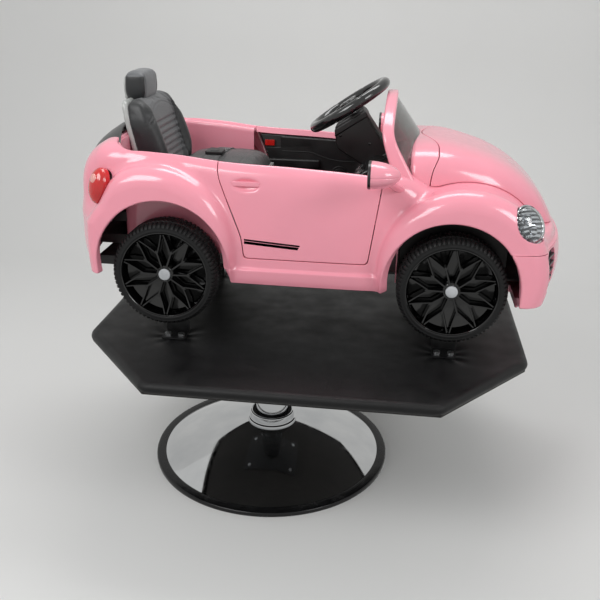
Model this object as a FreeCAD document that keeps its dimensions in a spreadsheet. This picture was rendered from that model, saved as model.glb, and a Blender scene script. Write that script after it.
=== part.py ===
"""Kids car barber chair: a ride-on car body on a padded deck and a hydraulic pedestal.

Millimetres, +Z up, +X towards the car's front. The origin is on the floor under the column's axis.
"""
import FreeCAD, Part
import Sketcher
import math
import os
import re
from types import SimpleNamespace

from FreeCAD import Matrix, Placement, Rotation, Vector

NODE_FOLDER = "parts"

# Driving dimensions, all in millimetres or degrees
SIZES = {
    # pedestal
    "base_radius": 327, "base_edge": 12, "base_edge_width": 26, "base_ledge": 40,
    "base_ledge_height": 6, "base_skin": 3, "dome_radius": 900, "dome_rise": 83,
    "collar_foot_radius": 68, "collar_radius": 62, "collar_step": 9, "collar_height": 30,
    "seal_width": 9, "seal_height": 9, "seal_sink": 3, "tube_radius": 45, "tube_wall": 4,
    "tube_play": 1, "tube_foot_gap": 2, "running_gap": 0.05, "pump_top": 300, "pump_flange": 8,
    "rod_radius": 14, "rod_engagement": 170, "rod_foot_gap": 3, "spindle_radius": 16,
    "spindle_length": 18, "column_cap": 8, "thrust_gap": 0.2,
    # pump pedal, behind the column
    "pedal_pin_radius": 4, "pedal_pin_out": 75, "pedal_pin_height": 16, "pedal_width": 14,
    "pedal_bar": 10, "pedal_reach": 232, "pedal_drop": 34, "pedal_tail": 8, "pedal_side_gap": 0.5,
    "pedal_ear": 5, "pedal_ear_out": 84, "pedal_ear_height": 27, "pedal_seat_gap": 1,
    "pedal_foot_length": 58, "pedal_foot_width": 64, "pedal_foot": 6, "pedal_pad": 5,
    # deck
    "deck_height": 439, "deck_half_length": 528, "deck_front_half": 320, "deck_half_width": 482,
    "deck_side_half": 233, "deck_centre": 110, "pad_thickness": 10, "pad_skirt": 5,
    "pad_rounding": 7, "board_thickness": 18, "plate_length": 300, "plate_width": 220,
    "plate_thickness": 8, "hub_radius": 34, "hub_height": 20, "plate_bolt_x": 120,
    "plate_bolt_y": 85, "bolt_radius": 4, "bolt_head_radius": 8, "bolt_head": 5,
    "bolt_play": 0.3, "bolt_bite": 14,
    # wheels and axles
    "wheelbase": 647, "rear_axle_x": 204, "tyre_gap": 61, "tyre_radius": 120, "tyre_width": 80,
    "track_face": 300, "tyre_shoulder": 10, "tyre_bead": 2, "rim_radius": 97, "rim_wall": 5,
    "rim_dish": 7, "rim_face": 8, "hub_boss_radius": 17, "hub_boss_length": 40, "cap_radius": 14,
    "cap_proud": 2, "petals": 10, "petal_root": 30, "petal_waist": 56, "petal_tip": 88,
    "petal_half_width": 11, "axle_radius": 6,
    # brackets that hold the axles
    "bracket_width": 56, "bracket_foot": 52, "bracket_plate": 4, "bracket_y": 202,
    "bracket_top": 22, "bracket_bolt_x": 16, "bracket_bolt_y": 34,
    # car body
    "sill_height": 161, "belt_rise": 300, "car_tail": 440, "car_nose": 700,
    "body_half_width": 268, "shell_wall": 4, "belt_rail": 22, "hood_start": 335,
    "hood_tip": 694, "hood_half_width": 213, "hood_seam": 388, "panel_gap": 0.5,
    "fender_radius": 188, "fender_out": 308, "fender_in": 120, "fender_rounding": 42,
    "front_fender_x": 20, "front_fender_z": 35, "rear_fender_x": 31, "rear_fender_z": 70,
    "arch_radius": 150, "arch_in": 190, "ledge_in": 236, "ledge": 8, "flange": 4,
    "front_arch_x": 5, "front_arch_z": 7, "rear_arch_x": 1, "rear_arch_z": 25,
    "bumper_back": 560, "bumper_drop": 25, "bumper_height": 165, "bumper_reach": 142,
    "bumper_half_width": 307, "bumper_seam": 118, "bumper_split": 108,
    "tail_bumper_x": 360, "tail_bumper_depth": 95, "tail_bumper_half_width": 306,
    "tail_bumper_foot": 14, "tail_bumper_height": 190,
    "cockpit_back": 330, "cockpit_front": 318, "cockpit_half_width": 238,
    "cockpit_corner": 60, "cockpit_depth": 200, "liner_half_width": 211, "liner_wall": 3,
    "liner_foot": 50, "liner_top": 268, "liner_front": 88, "firewall_foot": 12,
    "firewall_height": 215,
    # doors
    "door_foot": 64, "door_back_top": 84, "door_back_foot": 22, "door_front_foot": 254,
    "door_front_top": 286, "door_gap": 2.5, "door_swell": 6,
    "hinge_x": 235, "hinge_y": 256, "hinge_radius": 4, "hinge_rod_length": 150,
    "hinge_boss_radius": 8, "hinge_boss_height": 16, "hinge_boss_foot": 24,
    "door_panel_back": 72, "door_panel_front": 205, "door_panel_foot": 72,
    "door_panel_back_top": 256, "door_panel_front_top": 244, "door_panel": 16,
    "door_panel_rear": 6, "door_panel_slant": 72,
    "armrest_length": 150, "armrest_height": 22, "armrest": 14, "armrest_x": 20,
    "armrest_rise": 170, "latch_length": 26, "latch_height": 14, "latch": 8, "latch_sink": 5,
    "latch_travel": 12, "latch_back": 58, "latch_top": 22, "latch_gap": 0.3,
    "handle_x": 28, "handle_length": 56, "handle_z": 228, "handle_height": 9,
    "handle_reach": 264,
    # chassis under the body
    "chassis_floor": 6, "chassis_lift": 3, "chassis_back": 395, "chassis_front": 640,
    "chassis_half_width": 150, "chassis_wing_back": 42, "chassis_wing_front": 276,
    "chassis_wing_half_width": 254, "axle_block": 30, "axle_block_half_width": 150,
    "axle_block_height": 34, "slat_front": 302, "slat_half_width": 196, "slat_height": 22,
    "slat_pitch": 55, "slats": 3, "slat_web": 20, "tray_back": 326, "tray_length": 240,
    "tray_half_width": 196, "tray_foot": 52, "tray_height": 105, "tray_wall": 4,
    # windshield
    "glass_x": 290, "glass_z": 415, "glass_lean_run": 74, "glass_lean_rise": 100,
    "glass_bow": 86, "glass_half_span": 240, "frame_depth": 26, "frame_foot": 250,
    "frame_half_foot": 226, "frame_half_top": 206, "frame_shoulder": 340, "frame_crown": 412,
    "frame_width": 20, "pane_thickness": 3, "pane_inset": 6,
    # dashboard and steering
    "dash_back": 205, "dash_half_width": 180, "dash_foot": 196, "dash_toe": 16,
    "dash_brow": 32, "dash_back_top": 256, "dash_front_top": 262, "dash_wall": 4,
    "wheel_x": 185, "wheel_z": 374, "steering_lean": 33.6, "steering_radius": 98,
    "steering_grip": 12, "steering_hub_radius": 30, "steering_hub_length": 22,
    "steering_spoke_width": 26, "steering_spoke": 9, "steering_spoke_end": 1,
    "shaft_radius": 8, "shaft_length": 118,
    "horn_radius": 22, "horn": 7, "horn_travel": 3, "horn_gap": 0.4,
    "cover_half_width": 32, "cover_gap": 4, "cover_length": 145, "cover_bend": 46,
    "cover_front": 26, "cover_back": 52, "cover_belly": 78, "cover_foot_depth": 62,
    # seat
    "seat_base_back": 300, "seat_base_step": 184, "seat_base_front": 24,
    "seat_base_half_width": 165, "seat_base_height": 192, "seat_base_clear": 42,
    "seat_wall": 4, "soft_gap": 0.3, "cushion_height": 46, "cushion_crown": 18,
    "cushion_front": 20, "cushion_half_width": 158,
    "back_x": 269, "back_lean": 46, "back_rise": 196, "back_half_width": 130,
    "back_half_depth": 21, "bolster": 14, "channels": 7, "channel_radius": 3,
    "channel_pitch": 15, "channel_first": 66, "headrest_half_width": 58,
    "headrest_half_depth": 24, "headrest_height": 54, "headrest_back": 330,
    "shell_back": 9, "shell_back_half_width": 122, "shell_back_rise": 186, "shell_gap": 3,
    "belt_width": 38, "belt_thickness": 2, "belt_x": 165, "belt_end": 30,
    "buckle_length": 52, "buckle_width": 44, "buckle": 12,
    # lights, mirrors, grilles and spoiler
    "lamp_x": 150, "lamp_y": 277, "lamp_z": 157, "lamp_long": 44, "lamp_wide": 30,
    "lamp_deep": 22, "lamp_bezel": 3, "lamp_turn": 48, "lamp_tilt": 24, "tail_lamp_x": 352,
    "tail_lamp_y": 262, "tail_lamp_z": 206, "tail_lamp_long": 41, "tail_lamp_wide": 27,
    "tail_lamp_deep": 20, "tail_lamp_turn": 128, "tail_lamp_tilt": 12,
    "mirror_x": 249, "mirror_y": 334, "mirror_z": 281, "mirror_long": 68, "mirror_wide": 38,
    "mirror_high": 29, "mirror_foot_x": 325, "mirror_foot_y": 228, "mirror_foot_z": 224,
    "mirror_foot_radius": 9, "mirror_glass": 2, "mirror_rim": 4,
    "grille_z": 28, "grille_height": 84, "grille_near": 208, "grille_far": 284,
    "grille_depth": 6, "grille_back": 4, "grille_bars": 3, "grille_bar": 6,
    "grille_gap": 0.5,
    "spoiler_x": 385, "spoiler_z": 299, "spoiler_chord": 92, "spoiler": 12,
    "spoiler_half_span": 218, "spoiler_sweep": 48, "spoiler_drop": 34, "spoiler_lean": 36,
}
# Shares of the body's sizes at stations from the tail to the nose: length, underside and top
# of the belt's rise, and half-width
HULL_SHARES = (
    (0, 0.13, 0.69, 0.56), (0.022, 0.03, 0.86, 0.77), (0.061, -0.05, 0.99, 0.89),
    (0.123, -0.13, 1.03, 0.955), (0.21, -0.2, 1.015, 0.985), (0.316, -0.2, 0.965, 1),
    (0.474, -0.2, 0.935, 1.007), (0.605, -0.2, 0.905, 1), (0.675, -0.2, 0.885, 0.978),
    (0.754, -0.17, 0.76, 0.93), (0.877, -0.1, 0.66, 0.87), (0.956, 0, 0.47, 0.73))
# The hood: length from its start to its tip, top of the belt's rise, and half-width
HOOD_SHARES = (
    (0, 1.053, 1), (0.226, 1.05, 0.97), (0.395, 1.003, 0.93), (0.529, 0.95, 0.885),
    (0.669, 0.863, 0.8), (0.755, 0.787, 0.735), (0.852, 0.67, 0.64), (0.936, 0.507, 0.53),
    (1, 0.34, 0.4))
HOOD_FOOT_SHARE = 0.133
# The bumpers: height, reach and half-width
BUMPER_SHARES = (
    (0, 0.79, 0.853), (0.22, 0.93, 0.97), (0.515, 1, 0.997), (0.79, 0.972, 1), (1, 0.887, 0.984))
TAIL_SHARES = ((0, 0.8, 0.93), (0.14, 0.95, 0.985), (0.5, 1, 1), (0.8, 0.97, 0.995),
               (1, 0.85, 0.96))
# The seat's back: height, half-width and depth, with its bolsters and rear corners. The
# headrest: height and size
BACK_SHARES = ((0, 0.9, 0.9), (0.15, 0.97, 1), (0.5, 1, 1), (0.8, 0.95, 0.9), (0.95, 0.8, 0.7),
               (1, 0.62, 0.45))
HEADREST_SHARES = ((0, 0.86), (0.2, 0.98), (0.6, 1), (0.88, 0.86), (1, 0.6))
SIDE_SHARE = 0.95
BOLSTER_SHARE = 0.68
CORNER_SHARE = 0.3
# The shell behind it: height and half-width
SHELL_SHARES = ((0, 1), (0.5, 0.978), (0.85, 0.817), (1, 0.65))
# The seat's cushion: length from its front, height and half-width
CUSHION_SHARES = ((0, 0.45, 0.84), (0.06, 0.8, 0.94), (0.25, 1, 0.99), (0.6, 0.97, 1),
                  (0.92, 0.85, 0.98), (1, 0.6, 0.92))
# The spoiler: half-span, sweep and drop, and chord
SPOILER_SHARES = ((0, 0, 1), (0.45, 0.1, 1), (0.75, 0.4, 0.93), (0.92, 0.75, 0.75),
                  (1, 1, 0.5))
HULL_SQUARENESS = 5
HOOD_SQUARENESS = 4
BUMPER_SQUARENESS = 3
TAIL_SQUARENESS = 2
SECTION_POINTS = 20

doc = FreeCAD.newDocument("CarBarberChair")
sheet = doc.addObject("Spreadsheet::Sheet", "Sizes")
for row, (alias, amount) in enumerate(SIZES.items(), start=1):
    sheet.set("A%d" % row, str(amount))
    sheet.setAlias("A%d" % row, alias)
doc.recompute()
nodes = []


def formula(text):
    """A sum of size names, as an expression of the document."""
    return re.sub(r"[a-z]\w*", lambda word: "Sizes." + word.group() if word.group() in SIZES
                  else word.group(), text)


def number(text):
    """What a sum of size names comes to."""
    return float(sheet.evalExpression(formula(text)))


def tie(item, **formulas):
    """Bind properties to sums of size names."""
    for name, text in formulas.items():
        item.setExpression(name, formula(text))
    return item


def move(item, x="0", y="0", z="0"):
    """Bind an object's place to sums of size names."""
    for name, text in (("x", x), ("y", y), ("z", z)):
        item.setExpression("Placement.Base." + name, formula(text))
    return item


def node(item, label):
    """Mark an object as a sub-part, under the name that its file gets."""
    item.Label = label
    nodes.append(item)
    return item


def new_body(label):
    return node(doc.addObject("PartDesign::Body", label), label)


def arc_middle(start, end, radius):
    """The middle of an arc of this radius; a positive radius bulges to the left of its way."""
    chord = end - start
    half = chord.Length / 2
    rise = abs(radius) - math.sqrt(radius * radius - half * half)
    left = Vector(-chord.y, chord.x, 0).normalize()
    return (start + end) / 2 + left * math.copysign(rise, radius)


def nearest_end(sketch, edge, point):
    first = sketch.getPoint(edge, 1).distanceToPoint(point)
    return 1 if first < sketch.getPoint(edge, 2).distanceToPoint(point) else 2


def profile(body, plane, corners):
    """A closed outline whose corners are tied to the sizes. A third entry is an arc's radius."""
    sketch = body.newObject("Sketcher::SketchObject", body.Name + "Profile")
    face = [item for item in body.Origin.OriginFeatures if item.Role == plane][0]
    sketch.AttachmentSupport = [(face, "")]
    sketch.MapMode = "FlatFace"
    points = [Vector(number(corner[0]), number(corner[1]), 0) for corner in corners]
    for index, corner in enumerate(corners):
        start, end = points[index], points[(index + 1) % len(points)]
        if len(corner) == 3:
            edge = Part.Arc(start, arc_middle(start, end, number(corner[2])), end)
        else:
            edge = Part.LineSegment(start, end)
        sketch.addGeometry(edge, False)
    for index, corner in enumerate(corners):
        point = points[index]
        here = nearest_end(sketch, index, point)
        before = (index - 1) % len(points)
        last = nearest_end(sketch, before, point)
        sketch.addConstraint(Sketcher.Constraint("Coincident", before, last, index, here))
        for kind, axis, text in (("DistanceX", -2, corner[0]), ("DistanceY", -1, corner[1])):
            if text == "0":
                sketch.addConstraint(Sketcher.Constraint("PointOnObject", index, here, axis))
                continue
            limit = sketch.addConstraint(Sketcher.Constraint(kind, index, here, number(text)))
            sketch.setExpression("Constraints[%d]" % limit, formula(text))
        if len(corner) == 3:
            limit = sketch.addConstraint(
                Sketcher.Constraint("Radius", index, abs(number(corner[2]))))
            sketch.setExpression("Constraints[%d]" % limit, formula("abs(%s)" % corner[2]))
    doc.recompute()
    return sketch


def turned(label, plane, corners):
    """A body of revolution about its sketch's upright axis."""
    body = new_body(label)
    sketch = profile(body, plane, corners)
    feature = body.newObject("PartDesign::Revolution", label + "Turned")
    feature.Profile = sketch
    feature.ReferenceAxis = (sketch, ["V_Axis"])
    feature.Angle = 360
    doc.recompute()
    return body


def padded(label, plane, corners, length, midplane=False):
    """A body that is one outline, thickened."""
    body = new_body(label)
    feature = body.newObject("PartDesign::Pad", label + "Pad")
    feature.Profile = profile(body, plane, corners)
    tie(feature, Length=length)
    feature.Midplane = midplane
    doc.recompute()
    return body


def block(x, y, z, length, width, height):
    """A box from its lowest corner and its three sides."""
    item = tie(doc.addObject("Part::Box", "Block"), Length=length, Width=width, Height=height)
    return move(item, x, y, z)


def plate(x, y, z, length, width, height):
    """A box centred on x and y, from its underside up."""
    return block("%s - (%s) / 2" % (x, length), "%s - (%s) / 2" % (y, width), z,
                 length, width, height)


DIRECTIONS = {"x": Vector(1, 0, 0), "y": Vector(0, 1, 0), "z": Vector(0, 0, 1)}


def round_bar(axis, x, y, z, radius, length):
    """A cylinder along an axis, from the centre of its first end."""
    item = tie(doc.addObject("Part::Cylinder", "RoundBar"), Radius=radius, Height=length)
    item.Placement = Placement(Vector(), Rotation(Vector(0, 0, 1), DIRECTIONS[axis]))
    return move(item, x, y, z)


def cut(base, *tools):
    """Take tools out of a base, one after the other."""
    for tool in tools:
        item = doc.addObject("Part::Cut", "Cut")
        item.Base, item.Tool = base, tool
        base = item
    return base


def joined(*items):
    item = doc.addObject("Part::MultiFuse", "Joined")
    item.Shapes = list(items)
    return item


def group(*items):
    """Separate solids that share one node."""
    item = doc.addObject("Part::Compound", "Group")
    item.Links = list(items)
    return item


# Levels that several pieces share
DISC_TOP = "(base_edge + dome_rise)"
PUMP_RADIUS = "(tube_radius - tube_wall - running_gap)"
BOARD_TOP = "(deck_height - pad_thickness)"
BOARD_FOOT = "(deck_height - pad_thickness - board_thickness)"
PLATE_FOOT = "(deck_height - pad_thickness - board_thickness - plate_thickness)"
COLUMN_TOP = "(%s - hub_height - thrust_gap)" % PLATE_FOOT
AXLE_HEIGHT = "(deck_height + tyre_gap + tyre_radius)"
REAR_X = "(0 - rear_axle_x)"
FRONT_X = "(wheelbase - rear_axle_x)"


# Pedestal: a domed disc on an edge ring, with a collar round the lift tube
def make_pedestal():
    edge = "base_radius - base_edge_width"
    turned("base_disc", "XZ_Plane", [
        (edge, "base_ledge_height"),
        (edge, "base_edge", "0 - dome_radius"),
        ("collar_foot_radius", DISC_TOP),
        ("collar_foot_radius", DISC_TOP + " - base_skin", "dome_radius"),
        (edge + " - base_skin", "base_ledge_height")])
    turned("base_edge_ring", "XZ_Plane", [
        ("base_radius - base_ledge", "0"), ("base_radius", "0"), ("base_radius", "base_edge"),
        (edge, "base_edge"), (edge, "base_ledge_height"),
        ("base_radius - base_ledge", "base_ledge_height")])
    seal_outside = "tube_radius + tube_play + seal_width"
    turned("base_collar", "XZ_Plane", [
        (seal_outside, DISC_TOP), ("collar_foot_radius", DISC_TOP),
        ("collar_foot_radius", DISC_TOP + " + collar_step"),
        ("collar_radius", DISC_TOP + " + collar_step"),
        ("collar_radius", DISC_TOP + " + collar_height"),
        (seal_outside, DISC_TOP + " + collar_height")])
    seal_top = DISC_TOP + " + collar_height - seal_sink"
    turned("collar_seal", "XZ_Plane", [
        ("tube_radius + tube_play", seal_top + " - seal_height"),
        (seal_outside, seal_top + " - seal_height"),
        (seal_outside, seal_top), ("tube_radius + tube_play", seal_top)])
    bore = "rod_radius + running_gap"
    turned("pump_cylinder", "XZ_Plane", [
        ("0", "0"), (PUMP_RADIUS, "0"), (PUMP_RADIUS, DISC_TOP + " - pump_flange"),
        ("collar_foot_radius", DISC_TOP + " - pump_flange"), ("collar_foot_radius", DISC_TOP),
        (PUMP_RADIUS, DISC_TOP), (PUMP_RADIUS, "pump_top"), (bore, "pump_top"),
        (bore, "pump_top - rod_engagement"), ("0", "pump_top - rod_engagement")])
    turned("lift_column", "XZ_Plane", [
        ("tube_radius - tube_wall", DISC_TOP + " + tube_foot_gap"),
        ("tube_radius", DISC_TOP + " + tube_foot_gap"), ("tube_radius", COLUMN_TOP),
        ("spindle_radius", COLUMN_TOP), ("spindle_radius", COLUMN_TOP + " + spindle_length"),
        ("0", COLUMN_TOP + " + spindle_length"), ("0", COLUMN_TOP + " - column_cap"),
        ("tube_radius - tube_wall", COLUMN_TOP + " - column_cap")])
    rod_foot = "pump_top - rod_engagement + rod_foot_gap"
    node(round_bar("z", "0", "0", rod_foot, "rod_radius",
                   COLUMN_TOP + " - column_cap - (%s)" % rod_foot), "piston_rod")


# Pump pedal: a lever between two ears on the collar, with a foot plate
def make_pedal():
    pin_z = DISC_TOP + " + pedal_pin_height"
    ears = "pedal_width + 2 * (pedal_side_gap + pedal_ear)"
    slot = "pedal_width + 2 * pedal_side_gap"
    foot = DISC_TOP + " + pedal_seat_gap"
    pin = ("x", "0 - (%s) / 2" % ears, "pedal_pin_out", pin_z)
    node(cut(
        block("0 - (%s) / 2" % ears, "0", foot, ears, "pedal_ear_out", "pedal_ear_height"),
        round_bar("z", "0", "0", foot, "collar_foot_radius", "pedal_ear_height"),
        block("0 - (%s) / 2" % slot, "0", foot, slot, "pedal_ear_out", "pedal_ear_height"),
        round_bar(*pin, "pedal_pin_radius", ears)), "pedal_bracket")
    node(round_bar(*pin, "pedal_pin_radius", ears), "pedal_pin")
    top = pin_z + " + pedal_bar / 2"
    end = "pedal_pin_out + pedal_reach"
    lever = padded("pump_lever", "YZ_Plane", [
        ("pedal_pin_out - pedal_tail", pin_z + " - pedal_bar / 2"),
        ("pedal_pin_out + pedal_bar", pin_z + " - pedal_bar / 2"),
        (end + " - pedal_foot_length", pin_z + " - pedal_bar / 2 - pedal_drop"),
        (end, pin_z + " - pedal_bar / 2 - pedal_drop"), (end, top + " - pedal_drop"),
        (end + " - pedal_foot_length", top + " - pedal_drop"),
        ("pedal_pin_out + pedal_bar", top), ("pedal_pin_out - pedal_tail", top)],
        "pedal_width", True)
    nodes.remove(lever)
    tread = plate("0", end + " - pedal_foot_length / 2", top + " - pedal_drop",
                  "pedal_foot_width", "pedal_foot_length", "pedal_foot")
    node(cut(joined(lever, tread),
             round_bar(*pin, "pedal_pin_radius + running_gap", ears)), "pump_pedal")
    node(plate("0", end + " - pedal_foot_length / 2", top + " - pedal_drop + pedal_foot",
               "pedal_foot_width", "pedal_foot_length", "pedal_pad"), "pedal_pad")


# Deck: a board on a steel plate, with a padded cover drawn over it
def octagon(inset):
    """The deck's outline with its straight sides drawn in."""
    far, wide = "deck_half_length - (%s)" % inset, "deck_half_width - (%s)" % inset
    half = (("deck_front_half", "0 - (%s)" % wide), (far, "0 - deck_side_half"),
            (far, "deck_side_half"), ("deck_front_half", wide))
    ahead = [("deck_centre + " + x, y) for x, y in half]
    behind = [("deck_centre - (%s)" % x, y) for x, y in reversed(half)]
    return ahead + behind


def edges_where(shape, test):
    """Names of the edges that pass a test."""
    return ["Edge%d" % (index + 1) for index, edge in enumerate(shape.Edges) if test(edge)]


def bolt(x, y, head_foot, head_height, shank_foot, shank_length):
    return joined(round_bar("z", x, y, head_foot, "bolt_head_radius", head_height),
                  round_bar("z", x, y, shank_foot, "bolt_radius", shank_length))


def corners_of(x, y):
    return [(a + x, b + y) for a in ("", "0 - ") for b in ("", "0 - ")]


def make_deck():
    hub_foot = PLATE_FOOT + " - hub_height"
    bolt_places = corners_of("plate_bolt_x", "plate_bolt_y")
    node(cut(
        joined(plate("0", "0", PLATE_FOOT, "plate_length", "plate_width", "plate_thickness"),
               round_bar("z", "0", "0", hub_foot, "hub_radius", "hub_height")),
        round_bar("z", "0", "0", hub_foot, "spindle_radius + running_gap", "hub_height"),
        *[round_bar("z", x, y, PLATE_FOOT, "bolt_radius + bolt_play", "plate_thickness")
          for x, y in bolt_places]), "mounting_plate")
    node(group(*[bolt(x, y, PLATE_FOOT + " - bolt_head", "bolt_head", PLATE_FOOT,
                      "plate_thickness + bolt_bite") for x, y in bolt_places]), "plate_bolts")
    board = padded("board_blank", "XY_Plane", octagon("pad_skirt"), "board_thickness")
    move(board, z=BOARD_FOOT)
    nodes.remove(board)
    node(cut(board, *[round_bar("z", x, y, BOARD_FOOT, "bolt_radius", "bolt_bite")
                      for x, y in bolt_places],
             *[round_bar("z", x, y, BOARD_TOP + " - bolt_bite", "bolt_radius", "bolt_bite")
               for x, y in bracket_bolt_places()]), "deck_board")
    cover = padded("pad_blank", "XY_Plane", octagon("0"), "pad_thickness + board_thickness")
    slab = cover.Tip
    middle = number("pad_thickness + board_thickness") / 2
    rounding = cover.newObject("PartDesign::Fillet", "PadRounding")
    rounding.Base = (slab, edges_where(slab.Shape, lambda edge: edge.BoundBox.ZMin > middle))
    tie(rounding, Radius="pad_rounding")
    move(cover, z=BOARD_FOOT)
    nodes.remove(cover)
    pocket = padded("pad_pocket", "XY_Plane", octagon("pad_skirt"), "board_thickness")
    move(pocket, z=BOARD_FOOT)
    nodes.remove(pocket)
    node(cut(cover, pocket, *[
        round_bar("z", x, y, BOARD_TOP, "bolt_radius + bolt_play", "pad_thickness")
        for x, y in bracket_bolt_places()]), "deck_pad")


# Wheels: a tyre and a spoked rim on each end of two axles
WHEELS = (("rear_right", REAR_X, 0), ("rear_left", REAR_X, 180),
          ("front_right", FRONT_X, 0), ("front_left", FRONT_X, 180))


def on_axle(item, x, turn):
    """Put a wheel piece, drawn for the right side, on its axle."""
    item.Placement = Placement(Vector(), Rotation(Vector(0, 0, 1), turn))
    return move(item, x, "0", AXLE_HEIGHT)


def make_wheel(where, x, turn):
    face, inside = "0 - track_face", "0 - track_face + tyre_width"
    side_radius = "tyre_radius - tyre_shoulder"
    on_axle(turned("tyre_" + where, "XY_Plane", [
        ("rim_radius", inside + " - tyre_bead"), ("rim_radius", face + " + tyre_bead"),
        (side_radius, face), ("tyre_radius", face + " + tyre_shoulder"),
        ("tyre_radius", inside + " - tyre_shoulder"), (side_radius, inside)]), x, turn)
    front = face + " + rim_dish"
    back = front + " + rim_face"
    bore = "axle_radius + running_gap"
    rim = on_axle(turned("rim_" + where, "XY_Plane", [
        ("0", front + " - cap_proud"), ("cap_radius", front + " - cap_proud"),
        ("hub_boss_radius", front), ("rim_radius - rim_wall", front),
        ("rim_radius - rim_wall", face + " + tyre_bead"),
        ("rim_radius", face + " + tyre_bead"), ("rim_radius", inside + " - tyre_bead"),
        ("rim_radius - rim_wall", inside + " - tyre_bead"), ("rim_radius - rim_wall", back),
        ("hub_boss_radius", back), ("hub_boss_radius", front + " + hub_boss_length"),
        (bore, front + " + hub_boss_length"), (bore, back), ("0", back)]), x, turn)
    outline = profile(rim, "XZ_Plane", [
        ("petal_root", "0"), ("petal_waist", "0 - petal_half_width"), ("petal_tip", "0"),
        ("petal_waist", "petal_half_width")])
    petal = rim.newObject("PartDesign::Pocket", "Petal" + where)
    petal.Profile = outline
    petal.Type = "ThroughAll"
    petal.Midplane = True
    doc.recompute()
    pattern = rim.newObject("PartDesign::PolarPattern", "Petals" + where)
    pattern.Originals = [petal]
    pattern.Axis = (rim.Origin.OriginFeatures[1], [""])
    pattern.Angle = 360
    tie(pattern, Occurrences="petals")
    rim.Tip = pattern
    doc.recompute()


def bracket_bolt_places():
    return [("%s %s bracket_bolt_x" % (axle, along),
             "%s(bracket_y - bracket_plate + bracket_bolt_y)" % side)
            for axle in (REAR_X, FRONT_X) for along in "+-" for side in ("", "0 - ")]


def make_running_gear():
    for where, x, turn in WHEELS:
        make_wheel(where, x, turn)
    for label, x in (("rear_axle", REAR_X), ("front_axle", FRONT_X)):
        end = "track_face - rim_dish - rim_face - thrust_gap"
        node(round_bar("y", x, "0 - (%s)" % end, AXLE_HEIGHT, "axle_radius",
                       "2 * (%s)" % end), label)
    brackets = []
    for x in (REAR_X, FRONT_X):
        for side in ("", "0 - "):
            ear = plate(x, side + "(bracket_y - bracket_plate / 2)", "deck_height",
                        "bracket_width", "bracket_plate",
                        "tyre_gap + tyre_radius + bracket_top")
            foot = plate(x, side + "(bracket_y - bracket_plate + bracket_foot / 2)",
                         "deck_height", "bracket_width", "bracket_foot", "bracket_plate")
            brackets.append(cut(
                joined(ear, foot),
                round_bar("y", x, "0 - track_face", AXLE_HEIGHT, "axle_radius",
                          "2 * track_face"),
                *[round_bar("z", *place, "deck_height", "bolt_radius + bolt_play",
                            "bracket_plate") for place in bracket_bolt_places()]))
    node(group(*brackets), "axle_brackets")
    node(group(*[bolt(px, py, "deck_height + bracket_plate", "bolt_head",
                      BOARD_TOP + " - bolt_bite", "pad_thickness + bracket_plate + bolt_bite")
                 for px, py in bracket_bolt_places()]), "bracket_bolts")


# Car body: one skin from stations, fenders and bumpers, cut into its panels
def heights():
    """Levels of the car in the part's frame, worked out from the sizes."""
    return SimpleNamespace(
        sill=number("deck_height + sill_height"), axle=number(AXLE_HEIGHT),
        front=number(FRONT_X), rear=number(REAR_X))


def rounded_loop(place, squareness):
    """A smooth closed curve through the points of a superellipse."""
    points = []
    for index in range(SECTION_POINTS):
        angle = 2 * math.pi * (index + 0.5) / SECTION_POINTS
        across, up = math.cos(angle), math.sin(angle)
        points.append(place(math.copysign(abs(across) ** (2 / squareness), across),
                            math.copysign(abs(up) ** (2 / squareness), up)))
    curve = Part.BSplineCurve()
    curve.interpolate(Points=points, PeriodicFlag=True)
    return Part.Wire([curve.toShape()])


def station(x, low, high, half_width, squareness):
    """A rounded section across the car."""
    middle, half = (low + high) / 2, (high - low) / 2
    return rounded_loop(lambda across, up: Vector(x, across * half_width, middle + up * half),
                        squareness)


def level(z, centre, half_length, half_width, squareness):
    """A rounded section of a bumper, seen from above."""
    return rounded_loop(lambda across, up: Vector(centre + up * half_length,
                                                  across * half_width, z), squareness)


def hull(inset, rail):
    at = heights()
    tail, nose = number("car_tail") - inset, number("car_nose") - inset
    rise, width = number("belt_rise"), number("body_half_width")
    return Part.makeLoft([
        station(-tail + along * (tail + nose), at.sill + low * rise,
                at.sill + high * rise - rail, wide * width - inset, HULL_SQUARENESS)
        for along, low, high, wide in HULL_SHARES], True)


def hood_form(grow):
    at = heights()
    start, tip = number("hood_start") - grow, number("hood_tip") + grow
    rise, width = number("belt_rise"), number("hood_half_width")
    return Part.makeLoft([
        station(start + along * (tip - start), at.sill + HOOD_FOOT_SHARE * rise - grow,
                at.sill + high * rise + grow, wide * width + grow, HOOD_SQUARENESS)
        for along, high, wide in HOOD_SHARES], True)


def front_bumper_form(inset):
    at = heights()
    foot = at.sill - number("bumper_drop")
    height, width = number("bumper_height"), number("bumper_half_width")
    back, reach = number("bumper_back"), number("bumper_reach")
    loops = []
    for up, ahead, wide in BUMPER_SHARES:
        half = (ahead * reach - inset) / 2
        z = foot - inset + up * (height + 2 * inset)
        loops.append(level(z, back + half, half, wide * width - inset, BUMPER_SQUARENESS))
    return Part.makeLoft(loops, True)


def tail_bumper_form(inset):
    at = heights()
    foot = at.sill + number("tail_bumper_foot")
    height, width = number("tail_bumper_height"), number("tail_bumper_half_width")
    middle, depth = number("tail_bumper_x"), number("tail_bumper_depth")
    return Part.makeLoft([
        level(foot - inset + up * height, -middle, deep * depth - inset, wide * width - inset,
              TAIL_SQUARENESS) for up, deep, wide in TAIL_SHARES], True)


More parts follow.
